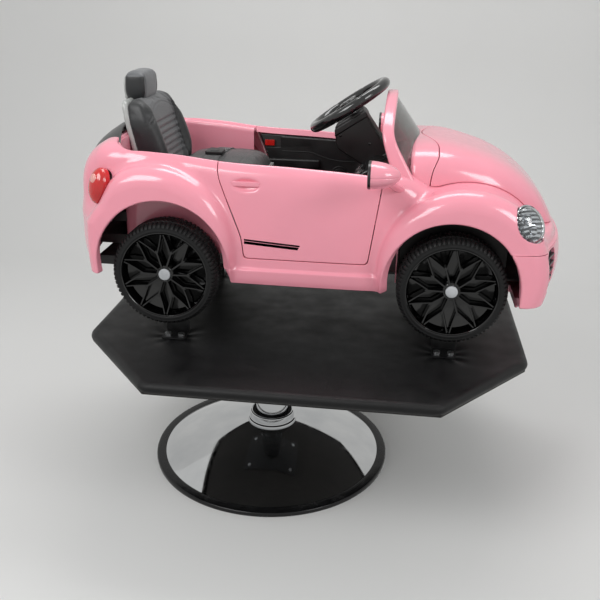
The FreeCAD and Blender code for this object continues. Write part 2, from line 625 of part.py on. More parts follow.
def fender(x, z, side, inset):
    """A drum across the car with a rounded outer rim, above the sill's level."""
    near, far = number("fender_in"), number("fender_out") - inset
    drum = Part.makeCylinder(number("fender_radius") - inset, far - near,
                             Vector(x, side * near, z), Vector(0, side, 0))
    rim = [edge for edge in drum.Edges
           if edge.Closed and abs(edge.CenterOfMass.y) > (near + far) / 2]
    return drum.makeFillet(number("fender_rounding") - inset, rim)


def below(z):
    reach = number("car_tail + car_nose")
    return Part.makeBox(2 * reach, 2 * reach, reach, Vector(-reach, -reach, z - reach))


def fenders(inset):
    at = heights()
    forms = []
    for side in (-1, 1):
        forms.append(fender(at.front + number("front_fender_x"),
                            at.axle + number("front_fender_z"), side, inset))
        forms.append(fender(at.rear - number("rear_fender_x"),
                            at.axle + number("rear_fender_z"), side, inset))
    return forms


def arch_cutters():
    at = heights()
    radius, near = number("arch_radius"), number("arch_in")
    out = number("fender_out + fender_rounding")
    cutters = []
    for x, z in ((at.front - number("front_arch_x"), at.axle + number("front_arch_z")),
                 (at.rear - number("rear_arch_x"), at.axle + number("rear_arch_z"))):
        for side in (-1, 1):
            cutters.append(Part.makeCylinder(radius, out - near, Vector(x, side * near, z),
                                             Vector(0, side, 0)))
            cutters.append(Part.makeBox(2 * radius, out - near, radius,
                                        Vector(x - radius, min(side * near, side * out),
                                               z - radius)))
    return cutters


def fuse_all(shapes):
    return shapes[0].multiFuse(shapes[1:])


def cockpit_cutter():
    at = heights()
    back, front = number("cockpit_back"), number("cockpit_front")
    half, depth = number("cockpit_half_width"), number("cockpit_depth")
    top = at.sill + number("belt_rise")
    space = Part.makeBox(back + front, 2 * half, 2 * depth, Vector(-back, -half, top - depth))
    upright = [edge for edge in space.Edges if edge.BoundBox.XLength + edge.BoundBox.YLength
               < edge.BoundBox.ZLength]
    return space.makeFillet(number("cockpit_corner"), upright)


def door_cutter(side, grow):
    """The door's outline from the side, as a prism through the car's side wall."""
    at = heights()
    foot = at.sill + number("door_foot")
    top = at.sill + number("belt_rise + cockpit_depth")
    back_foot = Vector(-number("door_back_foot"), 0, foot)
    back_top = Vector(-number("door_back_top"), 0, at.sill + number("belt_rise"))
    swell = (back_foot + back_top) / 2 - Vector(number("door_swell"), 0, 0)
    front_foot = Vector(number("door_front_foot"), 0, foot)
    front_top = Vector(number("door_front_top"), 0, at.sill + number("belt_rise"))
    lid_back, lid_front = Vector(back_top.x, 0, top), Vector(front_top.x, 0, top)
    outline = Part.Wire([
        Part.Arc(back_foot, swell, back_top).toShape(),
        Part.makeLine(back_top, lid_back), Part.makeLine(lid_back, lid_front),
        Part.makeLine(lid_front, front_top), Part.makeLine(front_top, front_foot),
        Part.makeLine(front_foot, back_foot)])
    if grow:
        outline = outline.makeOffset2D(grow)
    near, out = number("arch_in"), number("fender_out + fender_rounding")
    face = Part.Face(outline)
    face.translate(Vector(0, side * near, 0))
    return face.extrude(Vector(0, side * (out - near), 0))


def solid_node(label, shape):
    item = doc.addObject("Part::Feature", label)
    item.Shape = shape
    return node(item, label)


def region(x0, y0, z0, x1, y1, z1):
    """A box between two corners."""
    return Part.makeBox(x1 - x0, y1 - y0, z1 - z0, Vector(x0, y0, z0))


def on_sides(make):
    """One shape for each side of the car, right side first."""
    return [make(-1), make(1)]


def make_panels():
    """The skin, hollowed and cut into body shell, hood, bumper and doors."""
    at = heights()
    wall, reach = number("shell_wall"), number("car_nose + car_tail")
    seam = number("hood_seam")
    high = at.sill + reach
    behind_seam = region(-reach, -reach, at.sill, seam, reach, high)
    ahead = region(seam, -reach, at.sill, reach, reach, high)
    cowl = hood_form(0).common(behind_seam)
    core = fuse_all([hull(0, 0)] + fenders(0) + [tail_bumper_form(0)]).cut(below(at.sill))
    outer = fuse_all([core, cowl, front_bumper_form(0)])
    hollow = fuse_all([hull(wall, number("belt_rail"))] + fenders(wall)
                      + [tail_bumper_form(wall), front_bumper_form(wall), hood_form(-wall)])
    skin = outer.cut(hollow).cut(fuse_all(arch_cutters())).cut(cockpit_cutter())
    skin = skin.cut(hood_form(number("panel_gap")).common(ahead))
    hood = hood_form(0).common(ahead.translated(Vector(number("panel_gap"), 0, 0)))
    hood = hood.cut(hood_form(-wall)).cut(outer)
    bumper_top = at.sill + number("bumper_seam")
    split = at.front + number("bumper_split")
    gap = number("panel_gap")
    front = region(split, -reach, -reach, reach, reach, bumper_top - gap)
    bumper = skin.common(front)
    skin = skin.cut(region(split - gap, -reach, -reach, reach, reach, bumper_top))
    doors = on_sides(lambda side: skin.common(door_cutter(side, 0)))
    for side in (-1, 1):
        skin = skin.cut(door_cutter(side, number("door_gap")))
    return skin, hood, bumper, doors


def largest(shape):
    return max(shape.Solids, key=lambda solid: solid.Volume)


def make_liners():
    """Walls beside the seat, ledges along the sills and the wall ahead of the driver's feet."""
    at = heights()
    wall, half = number("liner_wall"), number("liner_half_width")
    rail, wide = number("belt_rail"), number("cockpit_half_width")
    back, front = -number("cockpit_back"), -number("liner_front")
    top = at.sill + number("liner_top")
    pieces = []
    for side in (-1, 1):
        near, far = sorted((side * half, side * (half + wall)))
        pieces.append(region(back, near, at.sill + number("liner_foot"), front, far, top))
        near, far = sorted((side * half, side * (wide + rail)))
        pieces.append(region(back, near, top - wall, front, far, top))
        near, far = sorted((side * number("ledge_in"),
                            side * number("body_half_width + belt_rail")))
        step = at.sill + number("door_foot - door_gap")
        pieces.append(region(-number("door_back_top"), near, step - number("ledge"),
                             number("door_front_top"), far, step))
        floor = at.sill + number("chassis_lift + chassis_floor")
        pieces.append(region(-number("chassis_wing_back"), near, floor,
                             number("chassis_wing_front"), far, floor + number("flange")))
    x = number("cockpit_front")
    reach = 2 * wide
    pieces.append(region(x, -reach, at.sill + number("firewall_foot"), x + wall, reach,
                         at.sill + number("firewall_height")))
    inside = hull(number("shell_wall") / 2, 0).cut(fuse_all(arch_cutters()))
    return fuse_all(pieces).common(inside)


def lamp_form(x, y, z, long, wide, deep, turn, tilt, grow):
    """An oval pod that looks out along a turned and tilted axis."""
    ball = Part.makeSphere(1)
    stretch = Matrix()
    stretch.scale(Vector(number(deep) + grow, number(wide) + grow, number(long) + grow))
    pod = ball.transformGeometry(stretch)
    pod.Placement = Placement(Vector(x, y, z), Rotation(turn, -tilt, 0))
    return pod


def lamps(name, along, axle, grow):
    at = heights()
    forms = []
    for side in (-1, 1):
        x = along * number(name + "_x") + axle
        forms.append(lamp_form(x, side * number(name + "_y"), at.sill + number(name + "_z")
                               if name == "tail_lamp" else at.axle + number(name + "_z"),
                               name + "_long", name + "_wide", name + "_deep",
                               side * number(name + "_turn"), number(name + "_tilt"), grow))
    return forms


def make_body():
    at = heights()
    skin, hood, bumper, doors = make_panels()
    head = lamps("lamp", 1, at.front, 0)
    tails = lamps("tail_lamp", -1, 0, 0)
    for pod in lamps("lamp", 1, at.front, number("lamp_bezel")) + tails:
        skin = skin.cut(pod)
    skin = skin.fuse(make_liners())
    solid_node("body_shell", largest(skin))
    solid_node("hood", largest(hood))
    for side in (-1, 1):
        bumper = bumper.cut(grille_window(side, 0))
    solid_node("front_bumper", largest(bumper))
    bezels = []
    for lens, pod in zip(head, lamps("lamp", 1, at.front, number("lamp_bezel"))):
        bezels.append(pod.cut(lens).cut(lamp_front(lens)))
    solid_node("headlight_bezels", Part.makeCompound(bezels))
    solid_node("headlight_lenses", Part.makeCompound(head))
    solid_node("tail_lights", Part.makeCompound(tails))
    return doors


def lamp_front(pod):
    """The half-space that a lamp looks into, as a box on its middle."""
    reach = number("lamp_long") * 2
    front = Part.makeBox(reach, 2 * reach, 2 * reach, Vector(0, -reach, -reach))
    front.Placement = Placement(pod.Placement.Base, pod.Placement.Rotation)
    return front


# Chassis: a floor with blocks on the axles, a tray over the front axle and slats at the back
SILL = "(deck_height + sill_height)"


def span(x0, x1, half_width, z, height):
    """A box between two stations, as wide on both sides."""
    return block(x0, "0 - (%s)" % half_width, z, "(%s) - (%s)" % (x1, x0),
                 "2 * (%s)" % half_width, height)


def make_chassis():
    floor = SILL + " + chassis_lift"
    parts = [
        span("0 - chassis_back", "chassis_front", "chassis_half_width", floor,
             "chassis_floor"),
        span("0 - chassis_wing_back", "chassis_wing_front", "chassis_wing_half_width", floor,
             "chassis_floor")]
    for x in (REAR_X, FRONT_X):
        parts.append(span(x + " - axle_block / 2", x + " + axle_block / 2",
                          "axle_block_half_width", floor, "axle_block_height"))
    for index in range(int(SIZES["slats"])):
        parts.append(span("0 - chassis_back", "0 - slat_front", "slat_half_width",
                          "%s + %d * slat_pitch" % (floor, index), "slat_height"))
    parts.append(span("0 - chassis_back", "0 - slat_front", "slat_web", floor,
                      "(slats - 1) * slat_pitch + slat_height"))
    tray_foot = SILL + " + tray_foot"
    parts.append(cut(
        span("tray_back", "tray_back + tray_length", "tray_half_width", tray_foot,
             "tray_height"),
        span("tray_back + tray_wall", "tray_back + tray_length - tray_wall",
             "tray_half_width - tray_wall", tray_foot, "tray_height - tray_wall")))
    parts.append(span("tray_back", "tray_back + tray_wall", "axle_block_half_width", floor,
                      "tray_foot + tray_wall"))
    axles = [round_bar("y", x, "0 - track_face", AXLE_HEIGHT, "axle_radius", "2 * track_face")
             for x in (REAR_X, FRONT_X)]
    node(cut(joined(*parts), *axles), "chassis")


def outline_prism(points, y, depth):
    """A prism along Y from an outline of (x, z) places."""
    corners = [Vector(x, y, z) for x, z in points]
    return Part.Face(Part.makePolygon(corners + corners[:1])).extrude(Vector(0, depth, 0))


# Windshield: a bowed sheet, leaning back, cut to an arch
def make_windshield():
    at = heights()
    run, rise = number("glass_lean_run"), number("glass_lean_rise")
    bow, half = number("glass_bow"), number("glass_half_span")

    def sheet_of(depth, ahead):
        loops = []
        for z in (at.sill + number("frame_foot"), at.sill + number("glass_z")):
            x = number("glass_x") - (z - at.sill - number("glass_z")) * run / rise + ahead
            front = Part.Arc(Vector(x - bow, -half, z), Vector(x, 0, z),
                             Vector(x - bow, half, z)).toShape()
            back = Part.Arc(Vector(x - bow - depth, half, z), Vector(x - depth, 0, z),
                            Vector(x - bow - depth, -half, z)).toShape()
            ends = [Part.makeLine(front.Vertexes[-1].Point, back.Vertexes[0].Point),
                    Part.makeLine(back.Vertexes[-1].Point, front.Vertexes[0].Point)]
            loops.append(Part.Wire([front, ends[0], back, ends[1]]))
        return Part.makeLoft(loops, True, True)

    def arch(inset):
        foot = at.sill + number("frame_foot")
        low, high = number("frame_half_foot") - inset, number("frame_half_top") - inset
        shoulder = at.sill + number("frame_shoulder") - inset
        crown = at.sill + number("frame_crown") - inset
        left = [Vector(0, -low, foot), Vector(0, -high, shoulder)]
        right = [Vector(0, high, shoulder), Vector(0, low, foot)]
        top = Part.Arc(left[1], Vector(0, 0, crown), right[0]).toShape()
        outline = Part.Wire([Part.makeLine(left[0], left[1]), top,
                             Part.makeLine(right[0], right[1]),
                             Part.makeLine(right[1], left[0])])
        return Part.Face(outline).extrude(Vector(number("car_nose"), 0, 0))

    width = number("frame_width")
    frame = sheet_of(number("frame_depth"), 0).common(arch(0)).cut(arch(width))
    pane = sheet_of(number("pane_thickness"), -number("pane_inset")).common(arch(width))
    keep_out = fuse_all([hull(0, 0), hood_form(0)])
    solid_node("windshield_frame", largest(frame.cut(keep_out)))
    solid_node("windshield_pane", largest(pane.cut(keep_out)))


# Dashboard, column cover and steering
def make_dashboard():
    at = heights()
    wall = number("dash_wall")
    foot = at.sill + number("dash_foot")
    back, front = number("dash_back"), number("cockpit_front")
    back_top = at.sill + number("dash_back_top")
    front_top = at.sill + number("dash_front_top")
    half = number("dash_half_width")
    middle = (foot + back_top) / 2
    toe, brow = back + number("dash_toe"), back + number("dash_brow")
    outside = outline_prism([(toe, foot), (front, foot), (front, front_top),
                             (brow, back_top), (back, middle)], -half, 2 * half)
    inside = outline_prism([(toe + wall, foot - wall), (front - wall, foot - wall),
                            (front - wall, front_top - wall),
                            (brow, back_top - wall), (back + wall, middle)],
                           wall - half, 2 * (half - wall))
    return outside.cut(inside)


def steering_frame():
    """The steering wheel's centre and its turn: local +Z looks at the driver."""
    at = heights()
    centre = Vector(number("wheel_x"), 0, at.sill + number("wheel_z"))
    return Placement(centre, Rotation(Vector(0, 1, 0), -number("steering_lean")))


def tilted(item, shift="0"):
    """Place a piece drawn about the steering axis, shifted along it."""
    item.Placement = Placement(Vector(), Rotation(Vector(0, 1, 0), -number("steering_lean")))
    return move(item, "wheel_x - (%s) * sin(steering_lean)" % shift, "0",
                SILL + " + wheel_z + (%s) * cos(steering_lean)" % shift)


def make_steering():
    grip = "steering_grip"
    ring = turned("steering_rim", "XZ_Plane", [
        ("steering_radius - %s" % grip, "0 - %s / 2" % grip),
        ("steering_radius - %s / 2" % grip, "0 - %s" % grip),
        ("steering_radius + %s / 2" % grip, "0 - %s" % grip),
        ("steering_radius + %s" % grip, "0 - %s / 2" % grip),
        ("steering_radius + %s" % grip, "%s / 2" % grip),
        ("steering_radius + %s / 2" % grip, grip), ("steering_radius - %s / 2" % grip, grip),
        ("steering_radius - %s" % grip, "%s / 2" % grip)])
    tilted(ring)
    hub = tie(doc.addObject("Part::Cylinder", "HubDisc"), Radius="steering_hub_radius",
              Height="steering_hub_length")
    reach = "steering_radius - %s - steering_spoke_end" % grip
    spokes = [block("0 - (%s)" % reach, "0 - steering_spoke_width / 2",
                    "steering_hub_length - steering_spoke", reach, "steering_spoke_width",
                    "steering_spoke")]
    for side in ("0", "0 - (%s)" % reach):
        spokes.append(block("0 - steering_spoke_width / 2", side,
                            "steering_hub_length - steering_spoke", "steering_spoke_width",
                            reach, "steering_spoke"))
    well = tie(doc.addObject("Part::Cylinder", "HornWell"), Radius="horn_radius + horn_gap",
               Height="horn_travel + horn")
    move(well, z="steering_hub_length - horn_travel - horn_gap")
    bore = tie(doc.addObject("Part::Cylinder", "ShaftBore"), Radius="shaft_radius",
               Height="steering_hub_length / 2")
    hub_node = node(cut(joined(hub, *spokes), well, bore), "steering_hub")
    tilted(hub_node, "0 - steering_hub_length + steering_spoke / 2")
    shaft = node(tie(doc.addObject("Part::Cylinder", "Shaft"), Radius="shaft_radius",
                     Height="shaft_length"), "steering_shaft")
    tilted(shaft, "0 - steering_hub_length / 2 + steering_spoke / 2 - shaft_length")
    horn = node(tie(doc.addObject("Part::Cylinder", "Horn"), Radius="horn_radius",
                    Height="horn"), "horn_pad")
    tilted(horn, "steering_spoke / 2 + horn_gap")


def make_column_cover():
    """The dashboard and the cover over the column, both clear of the turning shaft."""
    place = steering_frame()
    half, gap = number("cover_half_width"), number("cover_gap")
    top = -number("steering_hub_length") + number("steering_spoke") / 2 - gap
    length, foot_depth = number("cover_length"), number("cover_foot_depth")
    points = [(number("cover_front"), top), (-number("cover_back"), top),
              (-number("cover_belly"), top - number("cover_bend")),
              (-foot_depth / 2, top - length), (foot_depth / 2, top - length)]
    cover = outline_prism(points, -half, 2 * half)
    shaft_room = Part.makeCylinder(number("shaft_radius + running_gap"), 2 * length,
                                   Vector(0, 0, top - 2 * length))
    cover.Placement = place
    shaft_room.Placement = place
    cover = cover.cut(shaft_room)
    dash = make_dashboard().cut(shaft_room)
    solid_node("dashboard", largest(dash.cut(cover)))
    solid_node("column_cover", largest(cover))


# Seat: a hollow moulded base with a back shell, and padded cushion, back and headrest
def arc_through(first, middle, last):
    return Part.Arc(first, middle, last).toShape()


def closed(edges):
    return Part.Wire(Part.sortEdges(edges)[0])


def cushion_section(x, low, high, half_width, crown):
    """A flat underside, bulging sides and a crowned top."""
    shoulder = high - crown
    waist = half_width * SIDE_SHARE
    left, right = Vector(x, -waist, low), Vector(x, waist, low)
    left_top, right_top = Vector(x, -waist, shoulder), Vector(x, waist, shoulder)
    middle = (low + shoulder) / 2
    return closed([Part.makeLine(left, right),
                   arc_through(right, Vector(x, half_width, middle), right_top),
                   arc_through(right_top, Vector(x, 0, high), left_top),
                   arc_through(left_top, Vector(x, -half_width, middle), left)])


def back_section(centre, z, half_width, half_depth, bolster):
    """The padded back seen from above: two bolsters ahead of a flatter middle."""
    rear, front = centre - half_depth, centre + half_depth
    wing = front + bolster
    inner, outer = half_width * BOLSTER_SHARE, half_width * SIDE_SHARE
    side_low = rear + half_depth / 2
    edges = [Part.makeLine(Vector(rear, -inner, z), Vector(rear, inner, z))]
    for side in (-1, 1):
        edges += [
            arc_through(Vector(rear, side * inner, z),
                        Vector(rear + half_depth * CORNER_SHARE, side * outer, z),
                        Vector(side_low, side * half_width, z)),
            Part.makeLine(Vector(side_low, side * half_width, z),
                          Vector(front, side * half_width, z)),
            arc_through(Vector(front, side * half_width, z),
                        Vector(wing, side * (inner + outer) / 2, z),
                        Vector(front, side * inner, z))]
    edges.append(Part.makeLine(Vector(front, -inner, z), Vector(front, inner, z)))
    return closed(edges)


def back_centre(up):
    """How far back the seat's back leans at a height over its foot."""
    return -number("back_x") - up * number("back_lean / back_rise")


def make_seat():
    floor = SILL + " + chassis_lift + chassis_floor"
    step = SILL + " + seat_base_clear"
    top = SILL + " + seat_base_height"
    half, wall = "seat_base_half_width", "seat_wall"
    base = cut(
        joined(span("0 - seat_base_step", "0 - seat_base_front", half, floor,
                    "(%s) - (%s)" % (top, floor)),
               span("0 - seat_base_back", "0 - seat_base_front", half, step,
                    "(%s) - (%s)" % (top, step))),
        span("0 - seat_base_step + seat_wall", "0 - seat_base_front - seat_wall",
             half + " - " + wall, floor, "(%s) - seat_wall - (%s)" % (top, floor)),
        span("0 - seat_base_back + seat_wall", "0 - seat_base_front - seat_wall",
             half + " - " + wall, step, "(%s) - seat_wall - (%s)" % (top, step)))
    foot = number(top)
    rise, slab = number("shell_back_rise"), number("shell_back")
    gap = number("soft_gap")
    loops = []
    for share, across in SHELL_SHARES:
        up = share * rise
        rear = back_centre(up) - number("back_half_depth + shell_gap")
        wide = across * number("shell_back_half_width")
        corners = [Vector(rear, -wide, foot + up), Vector(rear, wide, foot + up),
                   Vector(rear - slab, wide * SIDE_SHARE, foot + up),
                   Vector(rear - slab, -wide * SIDE_SHARE, foot + up)]
        loops.append(Part.makePolygon(corners + corners[:1]))
    back_shell = doc.addObject("Part::Feature", "BackShell")
    back_shell.Shape = Part.makeLoft(loops, True, True)
    node(joined(base, back_shell), "seat_shell")

    cushion_back = -back_centre(0) - number("back_half_depth + bolster + soft_gap")
    length = cushion_back - number("cushion_front")
    low = foot + gap
    height, wide = number("cushion_height"), number("cushion_half_width")
    solid_node("seat_cushion", Part.makeLoft([
        cushion_section(-number("cushion_front") - along * length, low, low + high * height,
                        across * wide, high * number("cushion_crown"))
        for along, high, across in CUSHION_SHARES], True))

    rise = number("back_rise")
    back = Part.makeLoft([
        back_section(back_centre(up * rise), low + up * rise, across * number("back_half_width"),
                     deep * number("back_half_depth"), number("bolster") * deep)
        for up, across, deep in BACK_SHARES], True)
    for index in range(int(number("channels"))):
        up = number("channel_first") + index * number("channel_pitch")
        reach = number("back_half_width") * BOLSTER_SHARE
        back = back.cut(Part.makeCylinder(
            number("channel_radius"), 2 * reach,
            Vector(back_centre(up) + number("back_half_depth"), -reach, low + up),
            Vector(0, 1, 0)))
    solid_node("seat_back", largest(back))

    foot = low + rise + gap
    height, deep = number("headrest_height"), number("headrest_half_depth")
    wide, centre = number("headrest_half_width"), -number("headrest_back")
    loops = []
    for up, share in HEADREST_SHARES:
        z, along, across = foot + up * height, deep * share, wide * share
        places = [Vector(centre + a * along * SIDE_SHARE, b * across * SIDE_SHARE, z)
                  for a, b in ((-1, -1), (1, -1), (1, 1), (-1, 1))]
        bulges = [Vector(centre, -across, z), Vector(centre + along, 0, z),
                  Vector(centre, across, z), Vector(centre - along, 0, z)]
        loops.append(closed([arc_through(places[index], bulges[index],
                                         places[(index + 1) % len(places)])
                             for index in range(len(places))]))
    solid_node("headrest", Part.makeLoft(loops, True))


def make_lap_belt():
    """A strap over the cushion, fixed to both sides of the seat's base, with a buckle."""
    at = heights()
    gap, strap = number("soft_gap"), number("belt_thickness")
    foot = at.sill + number("seat_base_height")
    top = foot + number("cushion_height") + 2 * gap
    side = number("seat_base_half_width")
    shoulder = top - number("cushion_crown")
    x, width = -number("belt_x"), number("belt_width")
    end = foot - number("belt_end")

    def leg(out):
        return Vector(x, -side - out, end), Vector(x, -side - out, shoulder)

    def mirrored(point):
        return Vector(point.x, -point.y, point.z)

    foot_in, knee_in = leg(0)
    foot_out, knee_out = leg(strap)
    outline = closed([
        Part.makeLine(foot_in, knee_in),
        arc_through(knee_in, Vector(x, 0, top), mirrored(knee_in)),
        Part.makeLine(mirrored(knee_in), mirrored(foot_in)),
        Part.makeLine(mirrored(foot_in), mirrored(foot_out)),
        Part.makeLine(mirrored(foot_out), mirrored(knee_out)),
        arc_through(mirrored(knee_out), Vector(x, 0, top + strap), knee_out),
        Part.makeLine(knee_out, foot_out), Part.makeLine(foot_out, foot_in)])
    solid_node("lap_belt", Part.Face(outline).extrude(Vector(width, 0, 0)))
    half, long = number("buckle_width") / 2, number("buckle_length") / 2
    middle = x + width / 2
    buckle = region(middle - half, -long, top + strap, middle + half, long,
                    top + strap + number("buckle"))
    edges = [edge for edge in buckle.Edges if edge.BoundBox.ZMin > top + strap]
    solid_node("belt_buckle", buckle.makeFillet(number("buckle") / 4, edges))


# Doors: a moulded skin, a black inner panel, a sliding latch and the rod that it hangs on
def make_doors(skins):
    at = heights()
    foot = at.sill + number("door_foot")
    rods = []
    for skin, side, name in zip(skins, (-1, 1), ("right", "left")):
        hinge = Vector(number("hinge_x"), side * number("hinge_y"), foot - number("door_gap"))
        rods.append(Part.makeCylinder(number("hinge_radius"), number("hinge_rod_length"), hinge))
        boss = number("hinge_boss_height")
        low = foot + number("hinge_boss_foot")
        high = hinge.z + number("hinge_rod_length") - number("hinge_boss_foot") - boss
        near, far = sorted((side * (number("hinge_y") - number("hinge_boss_radius")),
                            side * number("hinge_y")))
        pieces = [largest(skin)]
        for z in (low, high):
            pieces.append(Part.makeCylinder(number("hinge_boss_radius"), boss,
                                            Vector(hinge.x, hinge.y, z)))
        handle_near, handle_far = sorted((side * (number("hinge_y") - number("shell_wall")),
                                          side * number("handle_reach")))
        x = -number("handle_x")
        pieces.append(region(x, handle_near, at.sill + number("handle_z"),
                             x + number("handle_length"), handle_far,
                             at.sill + number("handle_z + handle_height")))
        rod_room = Part.makeCylinder(number("hinge_radius + running_gap"),
                                     2 * number("hinge_rod_length"), hinge)
        door = fuse_all(pieces).cut(rod_room)
        panel, latch = inner_panel(side)
        solid_node("door_" + name, largest(door))
        solid_node("door_panel_" + name, largest(panel))
        solid_node("latch_" + name, latch)
    solid_node("door_hinge_rods", Part.makeCompound(rods))


def inner_panel(side):
    """The panel inside a door with its armrest, and the latch in its slot."""
    at = heights()
    face = number("cockpit_half_width")
    back, front = -number("door_panel_back"), number("door_panel_front")
    foot = at.sill + number("door_panel_foot")
    back_top = at.sill + number("door_panel_back_top")
    front_top = at.sill + number("door_panel_front_top")
    thick = number("door_panel")
    points = [(back + number("door_panel_slant"), foot), (front, foot), (front, front_top),
              (back, back_top), (back, back_top - number("door_panel_rear"))]
    panel = outline_prism(points, min(side * (face - thick), side * face), thick)
    rest = number("armrest_length")
    x = number("armrest_x") - rest / 2
    near, far = sorted((side * (face - thick - number("armrest")), side * (face - thick)))
    z = at.sill + number("armrest_rise")
    panel = panel.fuse(region(x, near, z, x + rest, far, z + number("armrest_height")))
    gap, travel = number("latch_gap"), number("latch_travel")
    left = -number("latch_back")
    right = left + number("latch_length")
    low = back_top - number("latch_top") - number("latch_height") / 2
    high = low + number("latch_height")
    inside = face - thick
    sunk = inside + number("latch_sink")
    near, far = sorted((side * inside, side * sunk))
    slot = region(left - gap, near, low - gap, right + travel + gap, far, high + gap)
    near, far = sorted((side * (sunk - gap - number("latch")), side * (sunk - gap)))
    return panel.cut(slot), region(left, near, low, right, far, high)


# Trim: mirrors, corner grilles and the spoiler
def make_mirrors():
    at = heights()
    z = at.sill + number("mirror_z")
    glasses = []
    body = hull(0, 0)
    for side, name in ((-1, "right"), (1, "left")):
        centre = Vector(number("mirror_x"), side * number("mirror_y"), z)

        def pod(grow, length):
            stretch = Matrix()
            stretch.scale(Vector(length, number("mirror_wide") + grow,
                                 number("mirror_high") + grow))
            half_ball = Part.makeSphere(1, Vector(), Vector(1, 0, 0), 0, 90, 360)
            return half_ball.transformGeometry(stretch).translated(centre)

        housing = pod(0, number("mirror_long"))
        oval = Part.Ellipse(centre, number("mirror_wide - mirror_rim"),
                            number("mirror_high - mirror_rim"))
        oval.Axis, oval.XAxis = Vector(1, 0, 0), Vector(0, 1, 0)
        glass = Part.Face(Part.Wire(oval.toShape())).extrude(
            Vector(number("mirror_glass"), 0, 0))
        foot = Vector(number("mirror_foot_x"), side * number("mirror_foot_y"),
                      at.sill + number("mirror_foot_z"))
        start = Vector((centre.x + foot.x) / 2, centre.y, z - number("mirror_high") / 4)
        arm = Part.makeCylinder(number("mirror_foot_radius"), (foot - start).Length, start,
                                foot - start)
        mirror = housing.fuse(arm).cut(glass).cut(body)
        solid_node("mirror_" + name, largest(mirror))
        glasses.append(glass)
    solid_node("mirror_glasses", Part.makeCompound(glasses))


def grille_window(side, shrink):
    at = heights()
    reach = number("car_nose")
    low = at.sill + number("grille_z") + shrink
    near, far = sorted((side * (number("grille_near") + shrink),
                        side * (number("grille_far") - shrink)))
    return region(at.front + number("bumper_split") + shrink, near, low, reach, far,
                  low + number("grille_height") - 2 * shrink)


def make_grilles():
    at = heights()
    gap, depth = number("grille_gap"), number("grille_depth")
    wall = number("shell_wall")
    outer = front_bumper_form(gap)
    floor = front_bumper_form(gap + depth)
    back = front_bumper_form(gap + depth + number("grille_back"))
    bars = int(number("grille_bars"))
    grilles = []
    for side in (-1, 1):
        plate_form = outer.cut(back).common(grille_window(side, gap))
        low = at.sill + number("grille_z")
        pitch = number("grille_height") / (bars + 1)
        reach = number("car_nose")
        for index in range(bars + 1):
            z = low + index * pitch
            near, far = sorted((side * (number("grille_near") + wall),
                                side * (number("grille_far") - wall)))
            slot = region(at.front, near, z + number("grille_bar") / 2, reach, far,
                          z + pitch - number("grille_bar") / 2)
            plate_form = plate_form.cut(slot.cut(floor))
        grilles.append(largest(plate_form))
    solid_node("front_grilles", Part.makeCompound(grilles))


def make_spoiler():
    at = heights()
    thick, lean = number("spoiler"), math.radians(number("spoiler_lean"))
    loops = []
    shares = [(-out, back, chord) for out, back, chord in reversed(SPOILER_SHARES[1:])]
    for out, back, chord in shares + list(SPOILER_SHARES):
        middle = Vector(-number("spoiler_x") + back * number("spoiler_sweep"),
                        out * number("spoiler_half_span"),
                        at.sill + number("spoiler_z") - back * number("spoiler_drop"))
        along = Vector(math.cos(lean), 0, math.sin(lean))
        up = Vector(-math.sin(lean), 0, math.cos(lean)) * (thick / 2)
        half = along * (chord * number("spoiler_chord") / 2 - thick / 2)
        front, rear = middle + half, middle - half
        loops.append(closed([
            Part.makeLine(rear + up, front + up),
            arc_through(front + up, front + along * (thick / 2), front - up),
            Part.makeLine(front - up, rear - up),
            arc_through(rear - up, rear - along * (thick / 2), rear + up)]))
    solid_node("spoiler", largest(Part.makeLoft(loops, True).cut(hull(0, 0))))


make_pedestal()
make_pedal()
make_deck()
make_running_gear()
make_chassis()
door_skins = make_body()
make_windshield()
make_steering()
make_column_cover()
make_seat()
make_lap_belt()
make_doors(door_skins)
make_mirrors()
make_grilles()
make_spoiler()
doc.recompute()

faults = [item.Name for item in doc.Objects
          if "Invalid" in item.State or "Error" in item.State]
faults += [item.Label for item in nodes if item.Shape.isNull() or not item.Shape.isValid()]
if faults:
    raise RuntimeError("not built: " + ", ".join(faults))
os.makedirs(NODE_FOLDER, exist_ok=True)
for item in nodes:
    item.Shape.exportStep("%s/%s.step" % (NODE_FOLDER, item.Label))
print(len(nodes), "sub-parts")
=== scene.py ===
"""Looks of the kids car barber chair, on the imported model.

Forms are worked out in millimetres, in the part's own frame. make_piece turns them to metres.
"""
import math

import bmesh
import bpy
import numpy as np
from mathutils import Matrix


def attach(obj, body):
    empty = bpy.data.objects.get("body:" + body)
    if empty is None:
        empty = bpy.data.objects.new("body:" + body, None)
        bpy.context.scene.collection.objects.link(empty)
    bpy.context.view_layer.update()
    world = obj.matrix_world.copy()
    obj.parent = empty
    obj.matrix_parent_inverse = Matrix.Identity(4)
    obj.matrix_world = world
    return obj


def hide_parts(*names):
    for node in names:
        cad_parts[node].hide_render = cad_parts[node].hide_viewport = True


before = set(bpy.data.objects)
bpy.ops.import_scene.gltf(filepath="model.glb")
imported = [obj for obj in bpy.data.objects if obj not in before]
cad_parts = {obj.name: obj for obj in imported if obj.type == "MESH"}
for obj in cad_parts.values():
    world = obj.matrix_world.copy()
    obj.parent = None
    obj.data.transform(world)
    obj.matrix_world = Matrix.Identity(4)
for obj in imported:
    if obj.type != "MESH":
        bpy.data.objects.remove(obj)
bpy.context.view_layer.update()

import openvdb
from bpy.props import (FloatProperty, FloatVectorProperty, IntProperty, PointerProperty)
from mathutils import Matrix, Vector

bl_info = {
    "name": "Kids Car Barber Chair", "version": (1, 0, 0), "blender": (4, 5, 0),
    "location": "View3D > Sidebar > Chair",
    "description": "Makes the looks of a kids car barber chair on its packed model",
    "category": "Object"}

MM = 0.001
SIDES = (-1, "right"), (1, "left")


